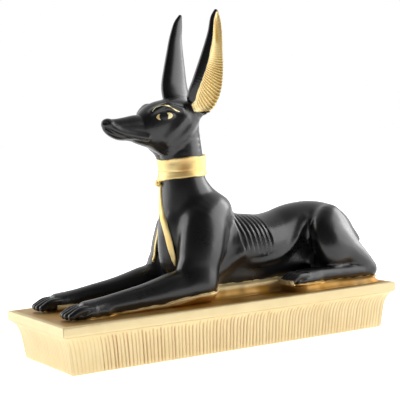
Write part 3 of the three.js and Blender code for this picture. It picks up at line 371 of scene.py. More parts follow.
def sculpt_head():
    head = Sculpture()
    head.add(1, [
        (-11.6, 0, 108.6, 9.6, 8.4), (-16, 0, 107.3, 12.2, 11.2), (-22.5, 0, 104.7, 12.3, 12.9),
        (-28, 0, 103.1, 11.2, 13.2), (-33.6, 0, 101.5, 9.6, 11.5), (-39, 0, 100.9, 7.4, 9.1),
        (-44.6, 0, 101.8, 6.2, 7.7), (-49.8, 0, 101.9, 5.4, 6.8), (-55, 0, 101.9, 4.7, 6.2),
        (-59.5, 0, 102.9, 3.8, 5.1), (-62.2, 0, 104.1, 3.2, 4),
    ])
    head.lump(1.6, (-62.8, 0, 105.6), (3.3, 3.1, 2.5))
    # Brow, eye, cheek and the groove behind the jaw
    head.add(3.5, [
        (-36, 6.4, 110.4, 0.8, 0.7), (-32.5, 8.4, 112.5, 1.7, 1.3), (-27, 10.2, 114.3, 2.1, 1.5),
        (-19, 11.2, 111.6, 1.6, 1.4),
    ])
    head.lump(1.2, EYE_CENTRE, (5.9, 1.9, 2.4), EYE_TURN)
    head.add(4, [(-16, 10.6, 106, 2.4, 3), (-21.5, 10.4, 100.5, 2.6, 3), (-28, 8.4, 94.6, 2.2, 2.6)])
    head.cut(3, [
        (-8.5, 13.2, 107.5, 2.2, 2.6), (-13.8, 14.6, 103, 2.4, 2.8), (-18.6, 14, 98.6, 2.4, 2.8),
        (-23.4, 12.6, 94.6, 1.8, 2), (-28, 10.8, 91.4, 0.7, 0.7),
    ])
    # Upper lip, the line of the mouth under it, nostril, ear
    head.add(3, [
        (-61.8, 2.3, 104.6, 0.7, 0.8), (-59.5, 3.1, 102.1, 0.7, 0.9), (-55.5, 3.7, 99.6, 0.7, 0.9),
        (-48, 4.9, 97.8, 0.7, 0.9), (-40, 6.6, 96.1, 0.7, 0.9),
    ])
    head.cut(1, [
        (-64.2, 1.4, 102.9, 0.5, 0.5), (-60, 3.6, 99.9, 0.8, 0.8), (-53, 4.7, 97.1, 0.7, 0.7),
        (-47, 5.7, 95.6, 0.7, 0.7), (-40.5, 7.2, 94.1, 0.55, 0.55), (-35.4, 8.7, 92.1, 0.2, 0.2),
    ])
    head.lump(0.6, (-64.7, 1.9, 105.8), (1.3, 0.8, 0.6), 20, cut=True)
    head.add(3, [
        (-10.6, 8.8, 109.4, 2, 3), (-5, 11.2, 114.4, 8.9, 4.5), (-3.8, 13.6, 119.5, 10.4, 4.4),
        (-2.5, 16.2, 126.5, 9.8, 4.2), (-0.8, 17.6, 135.5, 8.3, 3.8), (0.9, 18.6, 145.5, 6.3, 3.2),
        (2.5, 19.2, 154.5, 4.7, 2.5), (4, 18.3, 162.5, 3.4, 1.7), (5.4, 17.4, 167.2, 1.3, 1),
    ], EAR_ACROSS)
    return head


def smooth_step(value, low, high):
    """From 0 at the low value to 1 at the high one."""
    share = np.clip((value - low) / (high - low), 0, 1)
    return share * share * (3 - 2 * share)


# Ribs in the lining of the ear fan out from a point before it
FAN_X = -25
FAN_Z = 142
FAN_PITCH = math.radians(2.7)
RIB_DEPTH = 0.5


def lining_ribs(points):
    """Grooves of the lining, from 0 on a rib to 1 between two, and how strong they are there."""
    angle = np.arctan2(points[:, 2] - FAN_Z, points[:, 0] - FAN_X)
    ribs = 0.5 + 0.5 * np.cos(2 * math.pi * angle / FAN_PITCH)
    middle = -5 + (points[:, 2] - 113.5) * 0.2
    strength = smooth_step(points[:, 0] - middle, -5.5, -2) * smooth_step(points[:, 2], 110, 113)
    return ribs, strength * (1 - 0.9 * smooth_step(points[:, 2], 132, 143))


def ear_hollow(points):
    """Distance to what is scooped out of the ears, in the head's own frame, with the ribs of the lining."""
    folded = np.array(points, float)
    folded[:, 1] = np.abs(folded[:, 1])
    near = (folded[:, 2] > 104) & (folded[:, 1] > 6)
    values = np.full(len(points), FAR)
    ribs, strength = lining_ribs(folded[near])
    values[near] = HOLLOW.distance(folded[near]) + RIB_DEPTH * strength * (0.5 - ribs)
    return values


def to_head(points):
    """From the body's frame to that of the turned head."""
    moved = np.array(points, float) - HEAD_PIVOT
    c, s = math.cos(HEAD_TURN), math.sin(HEAD_TURN)
    turned = np.stack([c * moved[:, 0] + s * moved[:, 1], c * moved[:, 1] - s * moved[:, 0], moved[:, 2]], 1)
    return turned + HEAD_PIVOT


# The chest is the body without its fine carving, for the scarf to lie on
BODY = sculpt_body()
CHEST = sculpt_body()
cut_ribs(BODY)
add_toes(BODY, paw=-84, knuckle=-92.5, tip=-100, centre=20.5, height=4.8, spread=3.7, half=1.92)
add_toes(BODY, paw=52.5, knuckle=45.5, tip=39.8, centre=26.3, height=8.6, spread=3.4, half=1.8)
HEAD = sculpt_head()
HOLLOW = Sculpture()
HOLLOW.add(1, EAR_HOLLOW, EAR_ACROSS)


def figure_distance(points, reach):
    body = BODY.distance(points, reach)
    local = to_head(points)
    head = HEAD.distance(local, reach)
    head = -blend_min(-head, ear_hollow(local), 1)
    return blend_min(body, head, NECK_BLEND)


# The ears are a piece of their own: all above their root, and below it what is beside the skull
EAR_ROOT = 119
EAR_FOOT = 108.5
EAR_INNER = 10.8
EAR_FRONT = -17.5


def ear_region(points):
    """Below zero in the piece of the ears."""
    x, y, z = to_head(points).T
    beside = np.maximum(EAR_FOOT - z, np.maximum(EAR_INNER - np.abs(y), EAR_FRONT - x))
    return np.minimum(beside, EAR_ROOT - z)


# How far the pieces reach into each other
OVERLAP = 0.3
FEET_SUNK = -0.4
BED_SUNK = -0.7


def body_piece(points, reach):
    solid = figure_distance(points, reach)
    return np.maximum(solid, np.maximum(points[:, 2] - COLLAR_SEAM, FEET_SUNK - points[:, 2]))


def head_piece(points, reach):
    solid = figure_distance(points, reach)
    return np.maximum(solid, np.maximum(COLLAR_SEAM - points[:, 2], -ear_region(points) - OVERLAP))


def ear_piece(points, reach):
    return np.maximum(figure_distance(points, reach), ear_region(points) - OVERLAP)


# Bed under the belly and the hind legs, and the narrow ledge that runs round the forelegs

BED_ROUND = 2.4
BED_SPREAD = 2.6
LEDGE_OUT = 1.1
LEDGE_X = (-100, -92, -76, -64, -42, -30, -20, -8)
LEDGE_Z = (0.5, 0.4, 0.8, 1.6, 2.9, 4.8, 6, 6.4)
LEDGE_END = -8
INNER_LEDGE = 3.2
BELLY_CORNER = 8
HIND_CORNER = 9


def hind_bed_top(x):
    return HIND_BED_HEIGHT - HIND_BED_FALL * (x - HIND_TOE_SHARE)


def bed_unevenness(x, y):
    return 0.2 * np.sin(x / 5.3 + 1) + 0.1 * np.sin(x / 2.1 + y / 4) + 0.04 * np.sin(x / 1.1 - y / 2)


def ledge_top(x, y):
    """How high the gold stands round the legs and along the belly."""
    inside = (np.abs(y) < 19.5) & (x > -90) & (x < -20)
    fore = np.where(inside, INNER_LEDGE, np.interp(x, LEDGE_X, LEDGE_Z))
    side = np.where((x > HIND_TOE_SHARE - 2) & (np.abs(y) > BED_WIDTH / 2), hind_bed_top(x), BED_HEIGHT)
    return np.where(x < LEDGE_END, fore, side + 0.5)


def bed_pad(points, front, rear, half, radius, top):
    """A flat pad with rounded corners and edges that spreads at its foot."""
    x, y, z = points.T
    uneven = bed_unevenness(x, y)
    dx = np.abs(x - (front + rear) / 2) - ((rear - front) / 2 - radius)
    dy = np.abs(y) - (half - radius)
    side = np.hypot(np.maximum(dx, 0), np.maximum(dy, 0)) + np.minimum(np.maximum(dx, dy), 0) - radius
    side = side - BED_SPREAD * np.exp(-np.maximum(z, 0) / 1.5) + 0.4 + uneven
    return -blend_min(-side, top + 0.5 * uneven - z, BED_ROUND)


def bed_distance(points, reach):
    x, y, z = points.T
    belly = bed_pad(points, ELBOW_SHARE, KNEE_SHARE, BED_WIDTH / 2, BELLY_CORNER, BED_HEIGHT)
    hind = bed_pad(points, HIND_TOE_SHARE, HEEL_SHARE, HIND_BED_WIDTH / 2, HIND_CORNER, hind_bed_top(x))
    beds = blend_min(belly, hind, 2.5)
    low = z < 10
    ledge = np.full(len(points), FAR)
    grown = BODY.distance(points[low], reach + LEDGE_OUT) - LEDGE_OUT
    room = ledge_top(x[low], y[low]) + 0.6 * bed_unevenness(x[low], y[low]) - z[low]
    ledge[low] = -blend_min(-grown, room, 1.2)
    return blend_min(beds, ledge, 1)


def bed_piece(points, reach):
    return np.maximum(bed_distance(points, reach), BED_SUNK - points[:, 2])


# Collar of cloth with its knot and two hanging ends

COLLAR_X = -11.9
COLLAR_HALF_X = 13
COLLAR_HALF_Y = 12
COLLAR_Z = 78
CLOTH_HALF = 1.5
CLOTH_CORNER = 0.8
KNOT_TURN = 2.8


def collar_distance(points):
    """A broad flat wrap round the neck, with one deep crease in front that fades out round the sides."""
    dx = (points[:, 0] - COLLAR_X) / COLLAR_HALF_X
    dy = points[:, 1] / COLLAR_HALF_Y
    turn = np.arctan2(dy, dx)
    front = swell(np.abs(turn), math.pi, 0.8)
    knot = swell(np.mod(turn, 2 * math.pi), KNOT_TURN, 0.35)
    radial = (np.hypot(dx, dy) - 1) * (COLLAR_HALF_X + COLLAR_HALF_Y) / 2
    wander = 0.7 * np.cos(turn) + 0.3 * np.sin(3 * turn + 1) + 0.15 * np.sin(7 * turn)
    rise = points[:, 2] - COLLAR_Z - wander
    crease = swell(rise, 1.1 * np.sin(turn) - 1.2, 0.6) * (0.08 + 0.9 * front)
    slack = 0.14 * np.sin(0.35 * rise + 3 * turn) + 0.05 * np.sin(0.8 * rise - 7 * turn)
    flare = 0.5 * smooth_step(np.abs(rise), 3, 6)
    radial = radial + 0.8 * crease + slack - flare
    half_band = np.where(rise < 0, 6 + 1.6 * knot, 5.8)
    out_x = np.abs(radial) - (CLOTH_HALF - CLOTH_CORNER)
    out_z = np.abs(rise) - (half_band - CLOTH_CORNER)
    outside = np.hypot(np.maximum(out_x, 0), np.maximum(out_z, 0))
    return outside + np.minimum(np.maximum(out_x, out_z), 0) - CLOTH_CORNER


# Each end of the scarf from the knot down: distance to the animal's right, height and half width
NEAR_END = [
    (3.9, 67.5, 0.8), (3.4, 62, 1), (1, 54, 1.7), (-3.8, 46.2, 2.1), (-6.4, 38.6, 2.4),
    (-7.6, 30.8, 2.4), (-8.1, 24.5, 1.6), (-8.3, 21.3, 0.2),
]
FAR_END = [
    (5.2, 67, 0.8), (6.4, 60, 1.1), (8.4, 52.5, 1.7), (11, 45, 2.2), (13.3, 38, 2.5),
    (14.7, 31, 2.5), (14.9, 25, 1.7), (14.8, 21.8, 0.2),
]
KNOT_CENTRE = (-26, 4.6, 69)
RIBBON_HALF = 0.85


def scarf_ends():
    scarf = Sculpture(mirrored=False)
    for end, lean in ((NEAR_END, -0.35), (FAR_END, 0.5)):
        y, z, half = catmull_rom(end, 3).T
        x = skin_along(CHEST, lambda ahead: np.stack([np.zeros_like(y) + ahead, y, z], 1), -50, -5)
        rows = np.stack([x - 0.15, y, z, np.maximum(half, 0.2), np.full_like(x, RIBBON_HALF)], 1)
        scarf.add(0.5, rows, (lean, 1, 0))
    scarf.lump(0.8, KNOT_CENTRE, (1.9, 2.1, 2))
    return scarf


RIBBON = scarf_ends()


def cloth_piece(points, reach):
    return blend_min(collar_distance(points), RIBBON.distance(points, reach), 0.8)


# From a distance to a mesh

CUBE = np.array([[i, j, k] for i in (0, 1) for j in (0, 1) for k in (0, 1)])


def sample_near_skin(distance, low, high, step):
    """Distances on a regular grid, worked out only near the skin, in blocks of 4, then 2, then 1 steps."""
    blocks = np.ceil((np.array(high) - low) / (4 * step)).astype(int)
    size = blocks * 4
    values = np.empty(size, np.float32)
    index = np.stack(np.meshgrid(*[np.arange(n) for n in blocks], indexing="ij"), -1).reshape(-1, 3)
    at_coarse = distance(low + (4 * index + 1.5) * step, 7 * step + 1)
    coarse = np.where(at_coarse < 0, -FAR, FAR).reshape(blocks)
    values[:] = coarse.repeat(4, 0).repeat(4, 1).repeat(4, 2)
    near = index[np.abs(at_coarse) < 4.4 * step + 1]
    halves = (2 * near[:, None, :] + CUBE).reshape(-1, 3)
    at_half = distance(low + (2 * halves + 0.5) * step, 4 * step + 1)
    for corner in CUBE:
        nodes = 2 * halves + corner
        values[tuple(nodes.T)] = np.where(at_half < 0, -FAR, FAR)
    close = halves[np.abs(at_half) < 2.3 * step + 0.4]
    nodes = (2 * close[:, None, :] + CUBE).reshape(-1, 3)
    values[tuple(nodes.T)] = distance(low + nodes * step, 3 * step)
    return values


def steps_along(axis, rest):
    """Index of the values before and of those after each step along the axis."""
    before = [rest] * 3
    after = [rest] * 3
    before[axis] = slice(0, -1)
    after[axis] = slice(1, None)
    return tuple(before), tuple(after)


def surface_net(values, low, step):
    """One vertex in each cell that the skin crosses, and one quad over each crossed edge."""
    inside = values < 0
    cells = np.array(values.shape) - 1
    count = np.zeros(cells, np.int32)
    total = np.zeros((*cells, 3), np.float32)
    for axis in range(3):
        a, b = (values[part] for part in steps_along(axis, slice(None)))
        crossed = (a < 0) != (b < 0)
        share = np.where(crossed, a / np.where(crossed, a - b, 1), 0)
        others = [other for other in range(3) if other != axis]
        for i in (0, 1):
            for j in (0, 1):
                part = [slice(None)] * 3
                part[others[0]] = slice(i, cells[others[0]] + i)
                part[others[1]] = slice(j, cells[others[1]] + j)
                hit = crossed[tuple(part)]
                count += hit
                total[..., axis] += share[tuple(part)]
                total[..., others[0]] += hit * i
                total[..., others[1]] += hit * j
    used = count > 0
    vertex = np.full(count.shape, -1)
    vertex[used] = np.arange(used.sum())
    places = np.argwhere(used) + total[used] / count[used][:, None]
    quads = []
    for axis in range(3):
        a, b = (inside[part] for part in steps_along(axis, slice(1, -1)))
        edge = np.argwhere(a != b)
        starts_inside = a[a != b]
        one, two = (axis + 1) % 3, (axis + 2) % 3
        edge[:, one] += 1
        edge[:, two] += 1
        ring = []
        for back_one, back_two in ((1, 1), (0, 1), (0, 0), (1, 0)):
            cell = edge.copy()
            cell[:, one] -= back_one
            cell[:, two] -= back_two
            ring.append(vertex[tuple(cell.T)])
        quad = np.stack(ring, 1)
        quads.append(np.where(starts_inside[:, None], quad, quad[:, ::-1]))
    return low + places * step, np.vstack(quads)


def relax(places, quads, rounds):
    """Draws each vertex toward the mean of its neighbours, which takes out the grid's own steps."""
    sides = quads.shape[1]
    pairs = np.vstack([quads[:, [k, (k + 1) % sides]] for k in range(sides)])
    pairs = np.unique(np.sort(pairs, axis=1), axis=0)
    both = np.vstack([pairs, pairs[:, ::-1]])
    number = np.bincount(both[:, 0], minlength=len(places))
    for _ in range(rounds):
        mean = np.stack([
            np.bincount(both[:, 0], places[both[:, 1], axis], len(places)) for axis in range(3)
        ], 1) / number[:, None]
        places = places + 0.5 * (mean - places)
    return places


def fill_mesh(mesh, places, faces):
    """Puts points and faces of one kind, triangles or quads, into an empty mesh."""
    mesh.vertices.add(len(places))
    mesh.vertices.foreach_set("co", np.asarray(places, np.float32).ravel())
    sides = faces.shape[1]
    mesh.loops.add(faces.size)
    mesh.loops.foreach_set("vertex_index", faces.astype(np.int32).ravel())
    mesh.polygons.add(len(faces))
    mesh.polygons.foreach_set("loop_start", np.arange(0, faces.size, sides, dtype=np.int32))
    mesh.update(calc_edges=True)


def refined(places, faces, chosen, cuts):
    """Splits the faces between the chosen points, and gives triangles back."""
    mesh = bpy.data.meshes.new("work")
    fill_mesh(mesh, places, faces)
    work = bmesh.new()
    work.from_mesh(mesh)
    edges = [edge for edge in work.edges if chosen[edge.verts[0].index] and chosen[edge.verts[1].index]]
    bmesh.ops.subdivide_edges(work, edges=edges, cuts=cuts, use_grid_fill=True)
    bmesh.ops.triangulate(work, faces=work.faces[:])
    work.to_mesh(mesh)
    work.free()
    places = np.empty(len(mesh.vertices) * 3)
    mesh.vertices.foreach_get("co", places)
    corners = np.empty(len(mesh.loops), np.int32)
    mesh.loops.foreach_get("vertex_index", corners)
    bpy.data.meshes.remove(mesh)
    return places.reshape(-1, 3), corners.reshape(-1, 3)


def drawn_to_skin(places, distance, chosen):
    """Moves the chosen points along the slope of the distance, onto the skin."""
    places = np.array(places, float)
    probe = 0.05
    for _ in range(2):
        at = places[chosen]
        value = distance(at, 3)
        slope = np.stack([distance(at + probe * axis, 3) - value for axis in np.eye(3)], 1) / probe
        steep = np.maximum((slope**2).sum(1), 0.3)
        places[chosen] = at - slope * (np.clip(value, -0.5, 0.5) / steep)[:, None]
    return places


def sculpted(distance, low, high, step, fine_zone=None):
    """Meshes the skin; where the fine zone says so, in three times finer faces."""
    low = np.array(low, float)
    places, faces = surface_net(sample_near_skin(distance, low, high, step), low, step)
    places = relax(places, faces, SMOOTHING)
    chosen = np.ones(len(places), bool)
    if fine_zone:
        places, faces = refined(places, faces, fine_zone(places), FINE_CUTS)
        chosen = fine_zone(places)
    return drawn_to_skin(places, distance, chosen), faces


def body_fine_zone(places):
    """The ribs and the toes."""
    x, y, z = places.T
    ribs = (x > 12) & (x < 39) & (z > 21) & (z > 47 - 1.6 * np.abs(y))
    fore_toes = (x < -83) & (z > 0.5)
    hind_toes = (x > 34) & (x < 55) & (np.abs(y) > 18) & (z < 12) & (z > 0.5)
    return ribs | fore_toes | hind_toes


def on_plinth(places):
    """From shares above the slab to metres in the frame."""
    return (places * UNIT + [FIGURE_X, 0, SLAB_TOP]) * MM


# Paint

PAINT_BLACK = (0.0030, 0.0031, 0.0038)
PAINT_SOFT = (0.0055, 0.0055, 0.0066)
GOLD_CREAM = (0.97, 0.86, 0.50)
GOLD_PALE = (0.92, 0.73, 0.33)
GOLD_MIDDLE = (0.84, 0.59, 0.20)
# The deep gold is painted shade, used on the head
GOLD_SHADE = (0.45, 0.27, 0.045)
PLINTH_DULL = (0.765, 0.61, 0.325)
PLINTH_BRIGHT = (0.83, 0.685, 0.39)
CLOTH_WASH = (0.52, 0.30, 0.10)
# The deck's brown is partly wash and partly painted shade of the figure
DECK_WASH_AND_SHADE = (0.42, 0.20, 0.018)
# The foot brown is painted shade in the crease of the bed
FOOT_SHADE = (0.33, 0.16, 0.02)
GROOVE_WASH = (0.56, 0.36, 0.205)
DECK_STRENGTH = 0.92
FOOT_SHADE_STRENGTH = 0.4

# Where the deck's brown, partly wash and partly painted shade, gives way, in metres: in from the rim, along
# the slab, above it
RIM_FADE = (0.0018, 0.0045)
FRONT_FADE = (-0.105, -0.035)
ELBOW_FADE = (-0.032, -0.02)
BELLY_LEDGE_RISE = 0.0031
RAISED_FADE = ((SLAB_TOP + 0.9) * MM, (SLAB_TOP + 1.9) * MM)

# Gloss and metal of each paint
SATIN = (0.25, 0.35)
COAT_WEIGHT = 0.25
COAT_ROUGHNESS = 0.2
GILT_METAL = 0.4
GILT_ROUGHNESS = 0.42
CLOTH_METAL = 0.5
CLOTH_ROUGHNESS = (0.36, 0.48)
PLINTH_METAL = (0.3, 0.8)
PLINTH_ROUGHNESS = (0.42, 0.54)

# Noise in waves to the metre, and heights of the bumps in metres
FIGURE_WEAR, FIGURE_CLOUDS, FIGURE_BRUSH = 45, 220, 900
CLOTH_CLOUDS, CLOTH_BRUSH = 120, 700
PLINTH_CLOUDS, PLINTH_STREAKS, PLINTH_BRUSH = 60, 420, 1100
BUMP_HEIGHT = 0.0003
FIGURE_BUMP_HEIGHT = 0.0004


class Nodes:
    """The nodes of a material or of the world, with short ways to add and link them."""

    def __init__(self, owner):
        owner.use_nodes = True
        self.nodes = owner.node_tree.nodes
        self.links = owner.node_tree.links

    def fill(self, node, inputs):
        """Gives a node its inputs, each a value, a colour or the output of another node."""
        for place, value in inputs.items():
            socket = node.inputs[place]
            if isinstance(value, bpy.types.NodeSocket):
                self.links.new(value, socket)
            else:
                socket.default_value = (*value, 1) if socket.type == "RGBA" else value
        return node.outputs

    def ramp(self, source, low, dark, high, light):
        """A colour that runs from the dark one at the low value to the light one at the high value."""
        node = self.nodes.new("ShaderNodeValToRGB")
        for element, place, colour in zip(node.color_ramp.elements, (low, high), (dark, light)):
            element.position = place
            element.color = (*colour, 1)
        return self.fill(node, {"Fac": source})["Color"]

    def map_range(self, *value_and_ranges):
        """Maps a value from one range to another one, or else to 0 to 1."""
        node = self.nodes.new("ShaderNodeMapRange")
        return self.fill(node, dict(enumerate(value_and_ranges)))["Result"]

    def maths(self, operation, *values):
        node = self.nodes.new("ShaderNodeMath")
        node.operation = operation
        return self.fill(node, dict(enumerate(values)))["Value"]

    def product(self, *values):
        result = values[0]
        for value in values[1:]:
            result = self.maths("MULTIPLY", result, value)
        return result

    def mix_colour(self, factor, a, b):
        node = self.nodes.new("ShaderNodeMix")
        node.data_type = "RGBA"
        return self.fill(node, {0: factor, 6: a, 7: b})[2]

    def mix_value(self, factor, a, b):
        return self.fill(self.nodes.new("ShaderNodeMix"), {0: factor, 2: a, 3: b})[0]


class Paint(Nodes):
    """A material: its principled shader, and the coordinates and attributes that steer it."""

    def __init__(self, name):
        self.material = bpy.data.materials.new(name)
        super().__init__(self.material)
        self.base = self.nodes["Principled BSDF"]
        self.place = self.nodes.new("ShaderNodeTexCoord").outputs["Object"]

    def coat(self, inputs):
        """Gives the shader its inputs and returns the material."""
        self.fill(self.base, inputs)
        return self.material

    def noise(self, scale, detail=4, stretch=(1, 1, 1)):
        mapping = self.nodes.new("ShaderNodeMapping")
        place = self.fill(mapping, {"Vector": self.place, "Scale": stretch})["Vector"]
        texture = self.nodes.new("ShaderNodeTexNoise")
        return self.fill(texture, {"Vector": place, "Scale": scale, "Detail": detail})["Fac"]

    def attribute(self, name):
        node = self.nodes.new("ShaderNodeAttribute")
        node.attribute_name = name
        return node.outputs["Fac"]

    def bump(self, height, strength, distance):
        node = self.nodes.new("ShaderNodeBump")
        return self.fill(node, {"Strength": strength, "Distance": distance, "Height": height})["Normal"]


def painted_figure():
    """Satin black over the resin, with gold wherever the attribute gilt is above zero, and deeper gold on
    the head as painted shade.
    """
    paint = Paint("figure_paint")
    worn = paint.noise(FIGURE_WEAR, 5)
    brush = paint.noise(FIGURE_BRUSH, 3)
    broad = paint.noise(FIGURE_CLOUDS)
    black = paint.ramp(worn, 0.3, PAINT_BLACK, 0.75, PAINT_SOFT)
    gold = paint.ramp(broad, 0.3, GOLD_PALE, 0.6, GOLD_CREAM)
    # Deeper gold where the head carries painted shade: the eye's front, the lining's grooves, the hollow
    # near the ear's tip
    gold = paint.mix_colour(paint.attribute("wash_and_shade"), gold, GOLD_SHADE)
    ragged = paint.maths("MULTIPLY_ADD", broad, 0.9, -0.45)
    edge = paint.maths("ADD", paint.attribute("gilt"), ragged)
    gilt = paint.map_range(edge, -0.05, 0.12)
    return paint.coat({
        "Base Color": paint.mix_colour(gilt, black, gold),
        "Roughness": paint.mix_value(gilt, paint.map_range(worn, 0.3, 0.7, *SATIN), GILT_ROUGHNESS),
        "Metallic": paint.product(gilt, GILT_METAL),
        "Specular IOR Level": 0.45,
        "Coat Weight": COAT_WEIGHT,
        "Coat Roughness": COAT_ROUGHNESS,
        "Normal": paint.bump(paint.maths("MULTIPLY_ADD", brush, 0.25, broad), 0.10, FIGURE_BUMP_HEIGHT),
    })


def gold_cloth():
    """Gold paint on the collar and the scarf, brushed lengthwise."""
    paint = Paint("gold_cloth")
    broad = paint.noise(CLOTH_CLOUDS)
    brush = paint.noise(CLOTH_BRUSH, 3, (0.3, 0.3, 1.4))
    gold = paint.ramp(broad, 0.3, GOLD_MIDDLE, 0.6, GOLD_PALE)
    return paint.coat({
        "Base Color": paint.mix_colour(paint.attribute("wash_and_shade"), gold, CLOTH_WASH),
        "Metallic": CLOTH_METAL,
        "Roughness": paint.map_range(brush, 0.3, 0.7, *CLOTH_ROUGHNESS),
        "Normal": paint.bump(brush, 0.2, BUMP_HEIGHT),
    })


def deck_wash_and_shade(paint):
    """Strength of the brown on the deck, partly wash and partly painted shade and reflection of the dark
    figure: less at the rim, toward the front and on the raised ledge, where the lighter gold stands for
    painted light.
    """
    x, y, z = paint.fill(paint.nodes.new("ShaderNodeSeparateXYZ"), {"Vector": paint.place})
    from_end, from_side = (
        paint.maths("MULTIPLY_ADD", paint.maths("ABSOLUTE", place), -1, length / 2 * MM)
        for place, length in ((x, PLINTH_LENGTH), (y, PLINTH_WIDTH))
    )
    rim = paint.maths("MINIMUM", from_end, from_side)
    inner = paint.map_range(rim, *RIM_FADE, 0.1, 1)
    top = paint.map_range(z, (SLAB_TOP - 0.5) * MM, (SLAB_TOP - 0.1) * MM)
    front = paint.map_range(x, *FRONT_FADE, 0.85, 1)
    risen = paint.maths("SUBTRACT", z, paint.map_range(x, *ELBOW_FADE, 0, BELLY_LEDGE_RISE))
    raised = paint.map_range(risen, *RAISED_FADE, 1, 0.3)
    return paint.product(inner, top, front, raised, DECK_STRENGTH)


def gold_plinth():
    """Warm gold paint, with a brown wash in the grooves, brown on the deck round the figure that is partly
    wash and partly painted shade, and painted shade at the foot of the bed.
    """
    paint = Paint("plinth_paint")
    broad = paint.noise(PLINTH_CLOUDS, 5)
    streak = paint.noise(PLINTH_STREAKS, 3, (1, 1, 0.12))
    brush = paint.noise(PLINTH_BRUSH, 3, (0.25, 1, 1))
    gold = paint.ramp(broad, 0.3, PLINTH_DULL, 0.65, PLINTH_BRIGHT)
    worn = paint.product(paint.attribute("groove"), paint.map_range(streak, 0.25, 0.6, 0.45, 1))
    gold = paint.mix_colour(worn, gold, GROOVE_WASH)
    # Brown on the deck round the figure: partly the paint's wash, partly painted shade and reflection of the
    # figure
    wash_and_shade = paint.product(deck_wash_and_shade(paint), paint.map_range(broad, 0.3, 0.7, 0.75, 1.15))
    gold = paint.mix_colour(wash_and_shade, gold, DECK_WASH_AND_SHADE)
    # Painted shade in the crease at the foot of the bed
    foot = paint.product(paint.attribute("foot"), FOOT_SHADE_STRENGTH)
    return paint.coat({
        "Base Color": paint.mix_colour(foot, gold, FOOT_SHADE),
        "Metallic": paint.map_range(wash_and_shade, 0, 1, *PLINTH_METAL),
        "Roughness": paint.map_range(broad, 0.3, 0.7, *PLINTH_ROUGHNESS),
        "Normal": paint.bump(paint.maths("MULTIPLY_ADD", brush, 0.3, streak), 0.12, BUMP_HEIGHT),
    })


# Pieces of the figure, and where their paint lies

EYE_SLOPE = 0.08
EYE_HALF = 5.1
LID_HEIGHT = 1.8
LID_POWER = 6
PUPIL_RADIUS = 2.6
PUPIL_FORWARD = 0.5
EYE_FRONT_X = -31
BROW_HALF = 0.33
BROW_LINE = [
    (-36.5, 111.1), (-34.3, 113.2), (-31.2, 114.2), (-28.2, 113.7), (-25.2, 112.3), (-22.8, 110.9),
    (-20.8, 110),
]
BROW_FOOT = 110.5
LINING_EDGE = 0.45
LINING_FOOT = 109.5
LINING_INNER = 9
HIND_TOES_DARK = 1.4


def make_piece(name, places, faces, material, node, attributes):
    mesh = bpy.data.meshes.new(name)
    fill_mesh(mesh, places, faces)
    mesh.validate()
    mesh.shade_smooth()
    for label, values in attributes.items():
        layer = mesh.attributes.new(label, "FLOAT", "POINT")
        layer.data.foreach_set("value", np.asarray(values, np.float32))
    mesh.materials.append(material)
    piece = bpy.data.objects.new(name, mesh)
    bpy.context.collection.objects.link(piece)
    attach(piece, "root")
    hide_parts(node)


def figure_gilding(places):
    """How far below the ragged edge of the gold, which creeps up the legs from the ledge."""
    x, y, z = places.T
    ragged = 0.2 * np.sin(x / 2.9) + 0.15 * np.sin(x / 1.3 + y)
    hind_toes = (x > HIND_TOE_SHARE - 5) & (x < HIND_TOE_SHARE + 8) & (np.abs(y) > 18)
    return ledge_top(x, y) + 0.25 + ragged - HIND_TOES_DARK * hind_toes - z


def in_head(places):
    """In the frame of the head, with both sides folded onto one."""
    local = to_head(places)
    local[:, 1] = np.abs(local[:, 1])
    return local


def brow_curve():
    """The painted brow: a line laid on the side of the head."""
    x, z = catmull_rom(BROW_LINE, 4).T
    return np.stack([x, side_of(HEAD, x, z, 20), z], 1)


def line_distance(points, line):
    nearest = np.full(len(points), FAR)
    for start, end in zip(line[:-1], line[1:]):
        along = end - start
        share = np.clip((points - start) @ along / (along @ along), 0, 1)
        nearest = np.minimum(nearest, np.linalg.norm(points - start - share[:, None] * along, axis=1))
    return nearest


def head_gilding(places):
    """Gold of the brow, of the eye on each side of the pupil, and of the ear's lining."""
    local = in_head(places)
    _, y, z = local.T
    brow = BROW_HALF - line_distance(local, brow_curve())
    turn = math.radians(EYE_TURN)
    away = local - EYE_CENTRE
    along_eye = away[:, 0] * math.cos(turn) + away[:, 1] * math.sin(turn)
    up = away[:, 2] - EYE_SLOPE * along_eye
    lids = LID_HEIGHT * (1 - (along_eye / EYE_HALF) ** LID_POWER) - np.abs(up)
    white = np.minimum(lids, np.hypot(along_eye + PUPIL_FORWARD, up) - PUPIL_RADIUS)
    white = np.where(y > 6, white, -FAR)
    low_end = 1.5 * (1 - smooth_step(z, 113, 117))
    lining = LINING_EDGE + low_end - HOLLOW.distance(local)
    lining = np.where((z > LINING_FOOT) & (y > LINING_INNER), lining, -FAR)
    return np.clip(np.maximum(np.maximum(brow, white), lining), -5, 5)


def head_painted_shade(places):
    """Painted shade: darker gold at the front of the eye, in the grooves of the ear's lining and in a strip
    near its tip where the lining curves in.
    """
    local = in_head(places)
    x, _, z = local.T
    ribs, strength = lining_ribs(local)
    # Painted shade in the hollow near the ear's tip
    tip_shade = swell(x, 3.6, 0.9) * smooth_step(z, 147, 152) * (1 - smooth_step(z, 160, 164))
    behind = 0.45 + 0.07 * (x + 5)
    in_ear = (x > -16) & (z > 109)
    general = (0.22 + 0.3 * behind) * in_ear + 0.5 * ((x < EYE_FRONT_X) & (z < BROW_FOOT))
    return np.clip(ribs**2 * strength * (behind + 0.2) + general + 0.7 * tip_shade, 0, 1)


